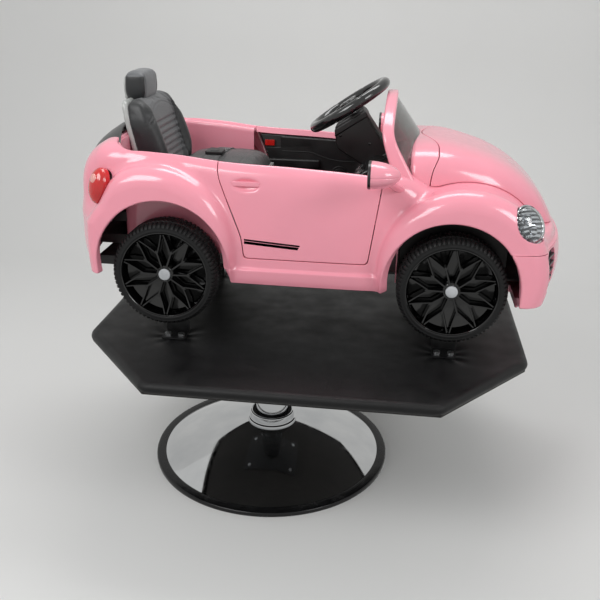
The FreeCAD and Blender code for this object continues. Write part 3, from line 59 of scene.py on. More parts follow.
def linear(code):
    """An sRGB hex colour as the linear light that Blender's sockets take."""
    parts = [int(code[at:at + 2], 16) / 255 for at in (1, 3, 5)]
    return tuple(part / 12.92 if part <= 0.04045 else ((part + 0.055) / 1.055) ** 2.4
                 for part in parts)


# Sizes that several pieces share, in millimetres
SILL, RISE, BELT_WIDTH = 600, 300, 268
TAIL, NOSE, HULL_NOSE = -440, 700, 650
FRONT_AXLE, REAR_AXLE, AXLE_HEIGHT, TRACK_HALF = 443, -204, 620, 260
DECK_TOP, DECK_FOOT, DECK_CENTRE = 439, 411, 110
# Corners of the boxes that hold the body and the hood
BODY_LOW, BODY_HIGH = (-470, -330, 560), (720, 330, 960)
HOOD_LOW, HOOD_HIGH = (320, -230, 620), (710, 230, 940)
# Halves of the cockpit's opening and of the liner's, and where a door's inner panel lies
OPENING_HALF, LINER_HALF, PANEL_FACE, PANEL_BACK = 238, 212, 222, 227.2
# Shares of the body's sizes at stations from the tail to the nose: length, underside and top
# of the belt's rise, and half-width
HULL = ((0, 0.13, 0.69, 0.56), (0.022, 0.03, 0.86, 0.77), (0.061, -0.05, 0.99, 0.89),
        (0.123, -0.13, 1.03, 0.955), (0.21, -0.2, 1.015, 0.985), (0.316, -0.2, 0.965, 1),
        (0.474, -0.2, 0.935, 1.007), (0.605, -0.2, 0.905, 1), (0.675, -0.2, 0.885, 0.978),
        (0.754, -0.17, 0.76, 0.93), (0.877, -0.1, 0.66, 0.87), (0.956, 0, 0.47, 0.73))
# The hood: length, top of the belt's rise, and half-width
HOOD = ((0, 1.053, 1), (0.226, 1.05, 0.97), (0.395, 1.003, 0.93), (0.529, 0.95, 0.885),
        (0.669, 0.863, 0.8), (0.755, 0.787, 0.735), (0.852, 0.67, 0.64), (0.936, 0.507, 0.53),
        (1, 0.34, 0.4))
# The bumpers: height, reach and half-width
BUMPER = ((0, 0.79, 0.853), (0.22, 0.93, 0.97), (0.515, 1, 0.997), (0.79, 0.972, 1),
          (1, 0.887, 0.984))
TAIL_BUMPER = ((0, 0.8, 0.93), (0.14, 0.95, 0.985), (0.5, 1, 1), (0.8, 0.97, 0.995),
               (1, 0.85, 0.96))
# The rear edge of a door: height and place
DOOR_BACK = ((660, -23), (716, -31), (750, -43), (812, -67), (850, -80), (900, -84))


# Fields: signed distances, negative inside, near enough to true close to their surface
def along(table, place):
    """The other columns of a table at places along its first column, on a smooth curve."""
    rows = np.array(table, float)
    at, columns = rows[:, 0], rows[:, 1:]
    slopes = np.gradient(columns, at, axis=0)
    place = np.clip(np.asarray(place, float), at[0], at[-1])
    low = np.clip(np.searchsorted(at, place) - 1, 0, len(at) - 2)
    width = at[low + 1] - at[low]
    t = (place - at[low]) / width
    results = []
    for column in range(columns.shape[1]):
        a, b = columns[low, column], columns[low + 1, column]
        c, d = slopes[low, column] * width, slopes[low + 1, column] * width
        results.append(a + t * c + t * t * (3 * (b - a) - 2 * c - d)
                       + t ** 3 * (2 * (a - b) + c + d))
    return results


def ramp(value):
    """0 below 0, 1 above 1 and smooth between."""
    value = np.clip(value, 0, 1)
    return value * value * (3 - 2 * value)


def oval(across, up, width, height, power):
    """Distance to a superellipse."""
    a, b = np.abs(across) / width, np.abs(up) / height
    ring = np.maximum((a ** power + b ** power) ** (1 / power), 0.2)
    slope = np.hypot((a / ring) ** (power - 1) / width, (b / ring) ** (power - 1) / height)
    return (ring - 1) / np.maximum(slope, 0.3 / np.maximum(width, height))


def merged(first, second, soft):
    """Both forms together, with a fillet."""
    share = np.clip(0.5 + 0.5 * (second - first) / soft, 0, 1)
    return second * (1 - share) + first * share - soft * share * (1 - share)


def within(first, second, soft):
    """Only what is inside both, with a rounded edge."""
    return -merged(-first, -second, soft)


def cornered(first, second, radius):
    """Only what is inside both, with a corner of a true radius."""
    first, second = first + radius, second + radius
    return (np.hypot(np.maximum(first, 0), np.maximum(second, 0))
            + np.minimum(np.maximum(first, second), 0) - radius)


def hull_field(x, y, z):
    low, high, wide = along(HULL, (x - TAIL) / (NOSE - TAIL))
    middle, half = SILL + (low + high) / 2 * RISE, (high - low) / 2 * RISE
    rocker = 7 * ramp((643 - z) / 9)
    # the belt's shoulder is crisper along the cockpit than over the nose
    crisp = 5 + 2.4 * ramp((x + 425) / 60) * ramp((390 - x) / 90) * ramp((z - 760) / 60)
    side = oval(y, z - middle, wide * BELT_WIDTH + rocker, half, crisp)
    return within(within(side, np.maximum(TAIL - x, x - HULL_NOSE), 30), 596 - z, 6)


def fender_field(x, y, z, centre_x, centre_z, radius=188):
    middle, half = 214, 94
    drum = cornered(np.hypot(x - centre_x, z - centre_z) - radius,
                    np.abs(np.abs(y) - middle) - half, 42)
    return within(drum, 596 - z, 6)


def bumper_field(x, y, z):
    foot, height, back, reach, width, step = 575, 165, 556, 146, 307, 718
    ahead, wide = along(BUMPER, (z - foot) / height)
    form = oval(x - back, y, ahead * reach, wide * width, 2.15) + 6 * ramp((z - step) / 4)
    form = within(form, back - 16 - x, 8)
    return within(form, np.abs(z - foot - height / 2) - height / 2, 10)


def tail_field(x, y, z):
    foot, height, middle, depth, width = 614, 190, -360, 95, 306
    deep, wide = along(TAIL_BUMPER, (z - foot) / height)
    form = oval(x - middle, y, deep * depth, wide * width, 1.8)
    return within(form, np.abs(z - foot - height / 2) - height / 2, 14)


def handle_scoop(x, y, z):
    """The hollow behind a door's handle."""
    place = np.sqrt(((x + 18) / 34) ** 2 + ((np.abs(y) - 271) / 13) ** 2
                    + ((z - 832) / 17) ** 2)
    return (place - 1) * 13


def body_field(x, y, z):
    rear = merged(tail_field(x, y, z), fender_field(x, y, z, -226, 683, 183), 15)
    # the tail's corner leans forward above its bumper
    aside = np.abs(y) - 262
    corner = (-388 + 0.16 * np.maximum(aside, 0) + 0.8 * np.minimum(aside, 0)
              + 0.8 * np.clip(z - 738, 0, 42) + 0.46 * np.maximum(z - 780, 0))
    form = merged(hull_field(x, y, z), within(rear, corner - x, 30), 17)
    form = merged(form, bumper_field(x, y, z), 16)
    form = merged(form, fender_field(x, y, z, 463, 655), 15)
    return within(form, -handle_scoop(x, y, z), 3)


def hood_field(x, y, z):
    start, tip, width, foot = 335, 694, 213, 640
    high, wide = along(HOOD, (x - start) / (tip - start))
    half = (SILL + high * RISE - foot) / 2
    side = oval(y, z - foot - half, wide * width, half, 4)
    return within(side, np.maximum(start - x, x - tip), 18)


def arch_field(x, y, z):
    """Distance outside the four wheel arches."""
    radius = 150
    result = np.full(np.broadcast(x, y, z).shape, 1e3)
    for centre_x, centre_z in ((438, 627), (-205, 645)):
        ring = np.where(z >= centre_z, np.hypot(x - centre_x, z - centre_z),
                        np.abs(x - centre_x)) - radius
        result = np.minimum(result, ring)
    return np.maximum(result, 150 - np.abs(y))


def cockpit_field(x, y, z):
    """Distance outside the cockpit's opening, seen from above."""
    back, front = -330, 318
    return cornered(np.abs(y) - OPENING_HALF,
                    np.abs(x - (back + front) / 2) - (front - back) / 2, 60)


def door_field(x, y, z):
    """Distance inside a door's outline, seen from the side."""
    foot, front_foot, front_slope = 664, 254, 32 / 236
    back = along(DOOR_BACK, z)[0]
    front = front_foot + (z - foot) * front_slope
    sides = -within(back - x, x - front, 10)
    return -within(-sides, foot - z, 10)


def bumper_split_field(x, y, z):
    """Distance outside the front bumper's panel."""
    return np.maximum(551 - x, z - 717.5)


def hood_seam(y):
    """Where the hood's rear seam lies: it curves forward towards the fenders."""
    aside = np.abs(y)
    return 361 + 37 * ramp(aside / 150) - 22 * ramp((aside - 175) / 50)


# Sheets: skins of a field, cut along lines and rolled over at their edges
def slope_at(field, points, reach=0.4):
    """The field's slope at each point."""
    x, y, z = points.T
    return np.stack([field(x + reach, y, z) - field(x - reach, y, z),
                     field(x, y + reach, z) - field(x, y - reach, z),
                     field(x, y, z + reach) - field(x, y, z - reach)], axis=1) / (2 * reach)


def unit(vectors):
    return vectors / np.maximum(np.linalg.norm(vectors, axis=1), 1e-9)[:, None]


def settled(points, field, rounds=3):
    """Points moved straight onto the field's surface."""
    for _ in range(rounds):
        slope = slope_at(field, points)
        step = np.clip(field(*points.T), -3, 3) / np.maximum((slope ** 2).sum(1), 0.2)
        points = points - step[:, None] * slope
    return points


def skin_of(field, low, high, step):
    """The field's whole surface between two corners, as points and quads."""
    axes = [np.arange(a, b + step, step) for a, b in zip(low, high)]
    x, y, z = axes[0][:, None, None], axes[1][None, :, None], axes[2][None, None, :]
    values = np.broadcast_to(field(x, y, z), [len(axis) for axis in axes])
    grid = openvdb.FloatGrid(100.0)
    grid.copyFromArray(np.ascontiguousarray(values / step, np.float32))
    points, quads = grid.convertToQuads(0.0)
    points = settled(points.astype(float) * step + np.array(low, float), field)
    return points, np.array(quads, int)


def compact(points, faces):
    """Only the points that faces use."""
    used = np.unique(faces[faces >= 0])
    place = np.full(len(points) + 1, -1)
    place[used] = np.arange(len(used))
    return points[used], place[faces]


def trimmed(points, faces, field, keep, snap=1.1):
    """The part of a sheet where keep is positive. Its new edge lies on keep's zero line."""
    value = keep(*points.T)
    near = np.flatnonzero(np.abs(value) < snap)
    if len(near):
        moved = points[near]
        for _ in range(3):
            normal = unit(slope_at(field, moved))
            slope = slope_at(keep, moved)
            slope -= (slope * normal).sum(1)[:, None] * normal
            step = np.clip(keep(*moved.T), -2, 2) / np.maximum((slope ** 2).sum(1), 0.1)
            moved = settled(moved - step[:, None] * slope, field, 1)
        points = points.copy()
        points[near] = moved
        value[near] = 0
    corner = np.where(faces >= 0, value[faces], 0)
    whole = faces[(corner >= 0).all(1) & (corner > 0).any(1)]
    crossing = faces[(corner > 0).any(1) & (corner < 0).any(1)]
    pairs = {}
    for face in crossing:
        loop = [index for index in face if index >= 0]
        for a, b in zip(loop, loop[1:] + loop[:1]):
            if value[a] * value[b] < 0:
                pairs.setdefault((min(a, b), max(a, b)), len(points) + len(pairs))
    if pairs:
        ends = np.array(list(pairs))
        a, b = points[ends[:, 0]], points[ends[:, 1]]
        va, vb = value[ends[:, 0]], value[ends[:, 1]]
        share = (va / (va - vb))[:, None]
        points = np.vstack([points, settled(a + (b - a) * share, field, 1)])
    pieces = []
    for face in crossing:
        loop = [index for index in face if index >= 0]
        kept = []
        for a, b in zip(loop, loop[1:] + loop[:1]):
            if value[a] >= 0:
                kept.append(a)
            if value[a] * value[b] < 0:
                kept.append(pairs[(min(a, b), max(a, b))])
        while len(kept) > 4:
            pieces.append(kept[:4])
            kept = kept[:1] + kept[3:]
        if len(kept) > 2:
            pieces.append(kept + [-1] * (4 - len(kept)))
    if pieces:
        whole = np.vstack([whole, np.array(pieces, int)])
    return compact(points, whole)


def open_edges(faces):
    """The edges that only one face has, each in that face's direction."""
    after = np.roll(faces, -1, axis=1)
    after = np.where(after < 0, faces[:, :1], after)
    edges = np.stack([faces, after], axis=2).reshape(-1, 2)
    edges = edges[edges[:, 0] >= 0]
    keys = np.sort(edges, axis=1)
    _, first, count = np.unique(keys, axis=0, return_index=True, return_counts=True)
    return edges[first[count == 1]]


def rolled(points, faces, field, edges_of):
    """Roll a sheet's open edges over and inward. edges_of gives each point's radius and
    depth."""
    steps = 4
    normals = unit(slope_at(field, points))
    edges = open_edges(faces)
    outward = np.zeros_like(points)
    across = unit(np.cross(points[edges[:, 1]] - points[edges[:, 0]], normals[edges[:, 0]]))
    np.add.at(outward, edges[:, 0], across)
    np.add.at(outward, edges[:, 1], across)
    rim = np.unique(edges)
    place = np.full(len(points), -1)
    place[rim] = np.arange(len(rim))
    out = unit(outward[rim])
    normal = normals[rim]
    radius, depth = edges_of(points[rim])
    radius, depth = radius[:, None], depth[:, None]
    rings, ring_normals = [], []
    for index in range(1, steps + 1):
        angle = math.pi / 2 * index / steps
        rings.append(points[rim] + out * radius * math.sin(angle)
                     - normal * radius * (1 - math.cos(angle)))
        ring_normals.append(unit(out * math.sin(angle) + normal * math.cos(angle)))
    rings.append(rings[-1] - normal * depth)
    ring_normals.append(out)
    start = len(points)
    all_points = np.vstack([points] + rings)
    all_normals = np.vstack([normals] + ring_normals)
    strips = []
    first, second = place[edges[:, 0]], place[edges[:, 1]]
    lower = (edges[:, 0], edges[:, 1])
    for index in range(len(rings)):
        upper = (start + index * len(rim) + first, start + index * len(rim) + second)
        strips.append(np.stack([lower[1], lower[0], upper[0], upper[1]], axis=1))
        lower = upper
    return all_points, np.vstack([faces] + strips), all_normals


def panel(points, faces, field, cuts):
    """A sheet cut along lines. Each cut is its line's field, edge radius and edge depth."""
    for keep, radius, depth in cuts:
        points, faces = trimmed(points, faces, field,
                                lambda x, y, z, k=keep, r=radius: k(x, y, z) - r)

    def edges_of(rim):
        nearest = np.full(len(rim), 1e9)
        radii, depths = np.ones(len(rim)), np.ones(len(rim))
        for keep, radius, depth in cuts:
            off = np.abs(keep(*rim.T) - radius)
            closer = off < nearest
            nearest = np.where(closer, off, nearest)
            radii, depths = np.where(closer, radius, radii), np.where(closer, depth, depths)
        return radii, depths

    return rolled(points, faces, field, edges_of)


# Meshes
def make_piece(name, points, faces, finish, normals=None, crease=50):
    """A mesh object from points in millimetres."""
    mesh = bpy.data.meshes.new(name)
    loops = [[int(index) for index in face if index >= 0] for face in faces]
    mesh.from_pydata((np.asarray(points, float) * MM).tolist(), [], loops)
    mesh.materials.append(finish)
    mesh.shade_smooth()
    if normals is not None:
        mesh.normals_split_custom_set_from_vertices(np.asarray(normals, float).tolist())
    else:
        shape = bmesh.new()
        shape.from_mesh(mesh)
        bmesh.ops.remove_doubles(shape, verts=shape.verts[:], dist=0.004 * MM)
        bmesh.ops.dissolve_degenerate(shape, edges=shape.edges[:], dist=0.001 * MM)
        bmesh.ops.recalc_face_normals(shape, faces=shape.faces[:])
        shape.to_mesh(mesh)
        shape.free()
        mesh.set_sharp_from_angle(angle=math.radians(crease))
    piece = bpy.data.objects.new(name, mesh)
    bpy.context.scene.collection.objects.link(piece)
    return piece


def show(name, points, faces, finish, body, slot, *nodes, normals=None, crease=50):
    """A piece that rides on its body, stands for CAD nodes and takes its finish. slot is not
    used.
    """
    piece = make_piece(name, points, faces, finish, normals, crease)
    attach(piece, body)
    if nodes:
        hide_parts(*nodes)
    return piece


def lattice(rows, columns, close_rows=False, close_columns=False):
    """Quads between the points of a grid of rows and columns."""
    faces = []
    for row in range(rows if close_rows else rows - 1):
        for column in range(columns if close_columns else columns - 1):
            after, beside = (row + 1) % rows, (column + 1) % columns
            faces.append([row * columns + column, after * columns + column,
                          after * columns + beside, row * columns + beside])
    return np.array(faces)


def spun(profile, steps, closed=True, swell=None):
    """A profile of (radius, height) turned about +Z. swell moves a point at a row and step."""
    profile = np.array(profile, float)
    points = []
    for row, (radius, height) in enumerate(profile):
        for step in range(steps):
            angle = 2 * math.pi * step / steps
            out, up = swell(row, step) if swell else (0, 0)
            out += radius
            points.append((out * math.cos(angle), out * math.sin(angle), height + up))
    return np.array(points), lattice(len(profile), steps, closed, True)


def rounded(corners, radius, steps=4, closed=True):
    """A polygon's corners cut to arcs. radius is one number, or one for each corner."""
    corners = [np.array(corner, float) for corner in corners]
    radii = [radius] * len(corners) if np.isscalar(radius) else radius
    result = []
    for index, corner in enumerate(corners):
        ends = not closed and index in (0, len(corners) - 1)
        if ends or radii[index] == 0:
            result.append(corner)
            continue
        before, after = corners[index - 1], corners[(index + 1) % len(corners)]
        reach = min(radii[index], np.linalg.norm(before - corner) * 0.49,
                    np.linalg.norm(after - corner) * 0.49)
        a = corner + (before - corner) / np.linalg.norm(before - corner) * reach
        b = corner + (after - corner) / np.linalg.norm(after - corner) * reach
        for step in range(steps + 1):
            t = step / steps
            result.append(a * (1 - t) ** 2 + corner * 2 * t * (1 - t) + b * t * t)
    return np.array(result)


def swept(path, section, up=(0, 0, 1), scale=None):
    """A closed section of (side, up) places carried along a path, with closed ends."""
    path = np.array(path, float)
    count = len(path)
    points = []
    for index, place in enumerate(path):
        ahead = path[min(index + 1, count - 1)] - path[max(index - 1, 0)]
        ahead = ahead / np.linalg.norm(ahead)
        side = np.cross(ahead, up)
        side = side / np.linalg.norm(side)
        high = np.cross(side, ahead)
        wide, tall = np.ones(2) * (scale[index] if scale is not None else 1)
        points += [place + side * a * wide + high * b * tall for a, b in section]
    faces = [face[::-1] for face in lattice(count, len(section), False, True).tolist()]
    faces.append(list(range(len(section))))
    faces.append([len(points) - 1 - index for index in range(len(section))])
    return np.array(points), faces


def box_form(low, high, bevel=1.5):
    """A box with rounded edges, from its lowest and highest corners."""
    shape = bmesh.new()
    bmesh.ops.create_cube(shape, size=1)
    low, high = Vector(low), Vector(high)
    for vertex in shape.verts:
        vertex.co = Vector([low[i] + (vertex.co[i] + 0.5) * (high[i] - low[i])
                            for i in range(3)])
    bmesh.ops.bevel(shape, geom=shape.edges[:] + shape.verts[:], offset=bevel, segments=2,
                    profile=0.6, affect="EDGES")
    shape.verts.index_update()
    points = [vertex.co.copy() for vertex in shape.verts]
    faces = [[vertex.index for vertex in face.verts] for face in shape.faces]
    shape.free()
    return np.array(points), faces


def gathered(*forms):
    """Several forms as one."""
    points, faces, start = [], [], 0
    for form_points, form_faces in forms:
        points.append(np.asarray(form_points, float))
        faces += [[index + start if index >= 0 else -1 for index in face]
                  for face in np.asarray(form_faces, object).tolist()]
        start += len(form_points)
    return np.vstack(points), faces


def carried(form, matrix):
    """A form moved by a matrix whose shift is in millimetres."""
    points, faces = form
    turn = np.array(matrix.to_3x3())
    return points @ turn.T + np.array(matrix.translation), faces


def mirrored(form):
    """The same form on the car's other side."""
    points, faces = form
    faces = [[index for index in face if index >= 0][::-1] for face in faces]
    return points * (1, -1, 1), faces


# Materials
def add(tree, kind, links=None, **settings):
    """A shader node with its settings. links maps an input to another node's output."""
    node = tree.nodes.new(kind)
    for name, value in settings.items():
        if hasattr(node, name):
            setattr(node, name, value)
        else:
            node.inputs[name.replace("_", " ")].default_value = value
    for name, source in (links or {}).items():
        tree.links.new(source, node.inputs[name])
    return node


def drive(tree, source, targets):
    """Let a pattern drive the shader's sockets: as relief of a height in mm and a strength, or
    between two values over a span of the pattern."""
    shader = tree.nodes["Principled BSDF"]
    for name, (first, second, *span) in targets.items():
        if name == "Normal":
            relief = add(tree, "ShaderNodeBump", {"Height": source}, Strength=second,
                         Distance=first * MM)
            tree.links.new(relief.outputs["Normal"], shader.inputs[name])
            continue
        low, high = span or (0.3, 0.7)
        coloured = name == "Base Color"
        ends = {} if coloured else {"To_Min": first, "To_Max": second}
        result = add(tree, "ShaderNodeMapRange", {"Value": source}, From_Min=low, From_Max=high,
                     **ends).outputs["Result"]
        if coloured:
            mix = add(tree, "ShaderNodeMix", {0: result}, data_type="RGBA")
            mix.inputs[6].default_value, mix.inputs[7].default_value = colour(first), colour(
                second)
            result = mix.outputs[2]
        tree.links.new(result, shader.inputs[name])


def start_material(name, **sockets):
    """A material with its shader's own sockets set, its tree and the point on the object."""
    material = bpy.data.materials.new(name)
    material.use_nodes = True
    tree = material.node_tree
    for socket, value in sockets.items():
        tree.nodes["Principled BSDF"].inputs[socket.replace("_", " ")].default_value = value
    return material, tree, add(tree, "ShaderNodeTexCoord").outputs["Object"]


def patterned(name, sockets, *patterns):
    """A material with patterns. Each is a texture's kind, scale and other settings, and what it
    drives."""
    material, tree, place = start_material(name, **sockets)
    for kind, scale, settings, targets in patterns:
        texture = add(tree, "ShaderNodeTex" + kind, {"Vector": place}, Scale=scale, **settings)
        drive(tree, texture.outputs["Distance" if kind == "Voronoi" else "Fac"], targets)
    return material


def colour(code):
    """A hex colour, or one that is linear already, as a socket takes it."""
    return (*(linear(code) if isinstance(code, str) else code), 1)


def shade(base, share):
    """A colour made darker or lighter."""
    return tuple(min(1, part * share) for part in base)


def per_mm(size):
    """A texture's scale for a pattern that repeats about every so many millimetres."""
    return 1000 / size


def bands_per_mm(size):
    """A wave texture's scale for bands that are so many millimetres apart."""
    return per_mm(size) * 2 * math.pi / 20


def moulded_polypropylene_pink(pink):
    """Glossy injection-moulded polypropylene: waxy, with moulding ripple and scuffs."""
    return patterned(
        "moulded_polypropylene_pink",
        {"Roughness": 0.22, "IOR": 1.49, "Coat_Weight": 0.5, "Coat_Roughness": 0.05,
         "Subsurface_Weight": 0.06, "Subsurface_Scale": 0.004,
         "Subsurface_Radius": (1.0, 0.5, 0.45)},
        ("Noise", per_mm(160), {"Detail": 3},
         {"Base Color": (shade(pink, 0.97), shade(pink, 1.03))}),
        ("Noise", per_mm(45), {"Detail": 1}, {"Normal": (0.25, 0.6)}),
        ("Noise", per_mm(14), {"Detail": 6}, {"Roughness": (0.16, 0.27, 0.35, 0.75)}))


def chromed_steel():
    """Polished and chromed steel: a mirror with faint wiping marks."""
    return patterned(
        "chromed_steel", {"Metallic": 1.0, "Roughness": 0.05},
        ("Noise", per_mm(28), {"Detail": 7, "Distortion": 1.2},
         {"Roughness": (0.03, 0.13, 0.35, 0.8)}),
        ("Noise", per_mm(90), {"Detail": 2}, {"Base Color": ("#C4C6C8", "#D2D3D4")}),
        ("Noise", per_mm(60), {"Detail": 1}, {"Normal": (0.12, 0.4)}))


def zinc_plated_steel():
    """Bright zinc-plated fasteners and shafts: grey metal with a fine turned grain."""
    return patterned(
        "zinc_plated_steel", {"Metallic": 1.0},
        ("Noise", per_mm(3), {"Detail": 5},
         {"Roughness": (0.22, 0.45), "Base Color": ("#A9ABAD", "#C6C8CA"),
          "Normal": (0.04, 0.5)}))


def powder_coated_steel():
    """Black powder coat on bent steel: satin with fine orange peel and dust."""
    return patterned(
        "powder_coated_steel", {"IOR": 1.5},
        ("Voronoi", per_mm(2.2), {"feature": "SMOOTH_F1"}, {"Normal": (0.12, 0.5)}),
        ("Noise", per_mm(20), {"Detail": 6},
         {"Base Color": ("#0C0C0D", "#1B1B1C"), "Roughness": (0.3, 0.5)}))


def rubber(name, dark, light, roughness=0.6, grain=1.4):
    """Moulded rubber: dull black with fine grain and a grey bloom of dust."""
    return patterned(
        name, {"IOR": 1.52, "Specular_IOR_Level": 0.3},
        ("Noise", per_mm(26), {"Detail": 8, "Roughness": 0.65},
         {"Base Color": (dark, light, 0.35, 0.8),
          "Roughness": (roughness - 0.12, roughness + 0.12)}),
        ("Noise", per_mm(grain), {"Detail": 3}, {"Normal": (0.15, 0.5)}))


def moulded_plastic(name, dark, light, roughness, grain=1.6, coat=0.0, height=0.1):
    """Moulded plastic: fine grain from the tool's etched face, and small changes of tone."""
    return patterned(
        name, {"IOR": 1.5, "Coat_Weight": coat, "Coat_Roughness": 0.06},
        ("Noise", per_mm(40), {"Detail": 5},
         {"Base Color": (dark, light), "Roughness": (roughness * 0.8, roughness * 1.25)}),
        ("Voronoi", per_mm(grain), {"feature": "SMOOTH_F1"}, {"Normal": (height, 0.5)}))


def vinyl(name, dark, light, roughness=0.42, grain=2.4, height=0.25, sheen=0.15, edge=None,
          shine=0.5):
    """Embossed vinyl leather: pebbled grain with soft shine on its tops, duller in folds.
    edge is another colour that starts at a distance from the middle, below a height, in mm."""
    material, tree, place = start_material(name, IOR=1.5, Sheen_Weight=sheen,
                                           Sheen_Roughness=0.5, Specular_IOR_Level=shine)
    pebble = add(tree, "ShaderNodeTexVoronoi", {"Vector": place}, Scale=per_mm(grain),
                 feature="DISTANCE_TO_EDGE", Randomness=0.9)
    crease = add(tree, "ShaderNodeMapRange", {"Value": pebble.outputs["Distance"]},
                 From_Min=0.0, From_Max=0.22)
    soft = add(tree, "ShaderNodeTexNoise", {"Vector": place}, Scale=per_mm(55), Detail=4)
    together = add(tree, "ShaderNodeMath", {0: crease.outputs["Result"],
                                            1: soft.outputs["Fac"]}, operation="ADD")
    drive(tree, together.outputs["Value"], {"Normal": (height, 0.6)})
    drive(tree, soft.outputs["Fac"], {"Base Color": (dark, light),
                                      "Roughness": (roughness - 0.07, roughness + 0.1)})
    if edge:
        other, line, top = edge
        parts = add(tree, "ShaderNodeSeparateXYZ", {"Vector": place})
        aside = add(tree, "ShaderNodeMath", {0: parts.outputs["Y"]}, operation="ABSOLUTE")
        beyond = add(tree, "ShaderNodeMapRange", {"Value": aside.outputs["Value"]},
                     From_Min=line * MM, From_Max=(line + 0.6) * MM)
        below = add(tree, "ShaderNodeMapRange", {"Value": parts.outputs["Z"]},
                    From_Min=(top + 0.6) * MM, From_Max=top * MM)
        both = add(tree, "ShaderNodeMath", {0: beyond.outputs["Result"],
                                            1: below.outputs["Result"]},
                   operation="MULTIPLY")
        base = tree.nodes["Principled BSDF"].inputs["Base Color"]
        second = add(tree, "ShaderNodeMix", {0: both.outputs["Value"],
                                             6: base.links[0].from_socket}, data_type="RGBA")
        second.inputs[7].default_value = colour(other)
        tree.links.new(second.outputs[2], base)
    return material


def acrylic(name, code, roughness=0.03):
    """Clear or tinted acrylic: it passes tinted light and mirrors its surroundings."""
    return patterned(
        name, {"Base_Color": colour(code), "IOR": 1.49, "Transmission_Weight": 1.0},
        ("Noise", per_mm(30), {"Detail": 5},
         {"Roughness": (roughness, roughness * 3 + 0.03)}))


def woven_polyester():
    """Woven polyester webbing: ribs across the strap every 2 mm."""
    material, tree, place = start_material("woven_polyester", Roughness=0.75, Sheen_Weight=0.4,
                                           Sheen_Roughness=0.4)
    turned = add(tree, "ShaderNodeMapping", {"Vector": place}, Rotation=(0, 0, math.pi / 2))
    ribs = add(tree, "ShaderNodeTexWave", {"Vector": turned.outputs["Vector"]},
               Scale=bands_per_mm(2), bands_direction="X")
    threads = add(tree, "ShaderNodeTexWave", {"Vector": place}, Scale=bands_per_mm(1.2),
                  bands_direction="X")
    cloth = add(tree, "ShaderNodeMath", {0: ribs.outputs["Fac"], 1: threads.outputs["Fac"]},
                operation="MULTIPLY")
    drive(tree, cloth.outputs["Value"], {"Normal": (0.5, 0.8),
                                         "Base Color": ("#0B0B0C", "#1E1E20", 0.0, 1.0)})
    return material


def plywood_painted_shade():
    """Plywood coloured near-black as painted shade under the deck, which the chromed disc
    mirrors: flat dark wood with a long faint grain.
    """
    material, tree, place = start_material("plywood_painted_shade", Roughness=0.7, IOR=1.5)
    long_grain = add(tree, "ShaderNodeMapping", {"Vector": place}, Scale=(1, 12, 1))
    grain = add(tree, "ShaderNodeTexNoise", {"Vector": long_grain.outputs["Vector"]},
                Scale=per_mm(40), Detail=7, Distortion=0.6)
    # the near-black colour is painted shade; the grain is the wood's own
    drive(tree, grain.outputs["Fac"], {"Base Color": ("#0F0D0C", "#231F1C"),
                                       "Normal": (0.2, 0.5)})
    return material


def silvered_glass():
    """Silvered mirror glass: a clear grey reflection with a few smears."""
    return patterned(
        "silvered_glass", {"Metallic": 1.0},
        ("Noise", per_mm(18), {"Detail": 6},
         {"Base Color": ("#9DA3A3", "#AEB4B4"), "Roughness": (0.02, 0.12)}))


def metallised_painted_reflections():
    """Vacuum-metallised lamp bowl: chrome over ribbed plastic, with painted reflections: its
    colour runs in dark and bright streaks along the ribs.
    """
    return patterned(
        "metallised_painted_reflections", {"Metallic": 1.0, "Roughness": 0.1},
        ("Wave", bands_per_mm(9), {"Distortion": 1.5, "bands_direction": "Z"},
         # the colour's dark and bright bands are painted reflections
         {"Normal": (0.8, 0.5), "Base Color": ("#5A5D62", "#DADCDF")}))


def black_film():
    """Cut vinyl film on the doors: thin, flat black with a dull shine."""
    return patterned(
        "black_film", {"IOR": 1.5},
        ("Noise", per_mm(9), {"Detail": 6},
         {"Base Color": ("#120C0E", "#2A2124", 0.35, 0.8), "Roughness": (0.28, 0.45)}))


def pale_paint(code):
    """Matt pale paint that mirrors and glass see as evenly lit."""
    material = patterned(
        "pale_paint", {"Roughness": 0.9},
        ("Noise", 0.7, {"Detail": 3}, {"Base Color": (shade(code, 0.97), shade(code, 1.02))}))
    tree = material.node_tree
    rays = add(tree, "ShaderNodeLightPath")
    seen = add(tree, "ShaderNodeMath", {0: rays.outputs["Is Glossy Ray"],
                                        1: rays.outputs["Is Transmission Ray"]},
               operation="MAXIMUM")
    glow = add(tree, "ShaderNodeEmission", Color=colour(code), Strength=0.8)
    mix = add(tree, "ShaderNodeMixShader", {
        0: seen.outputs["Value"], 1: tree.nodes["Principled BSDF"].outputs["BSDF"],
        2: glow.outputs["Emission"]})
    tree.links.new(mix.outputs["Shader"], tree.nodes["Material Output"].inputs["Surface"])
    return material


def finish_nodes(finish, *names):
    """Give CAD nodes that stay visible their finish."""
    for name in names:
        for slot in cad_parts[name].material_slots:
            slot.material = finish


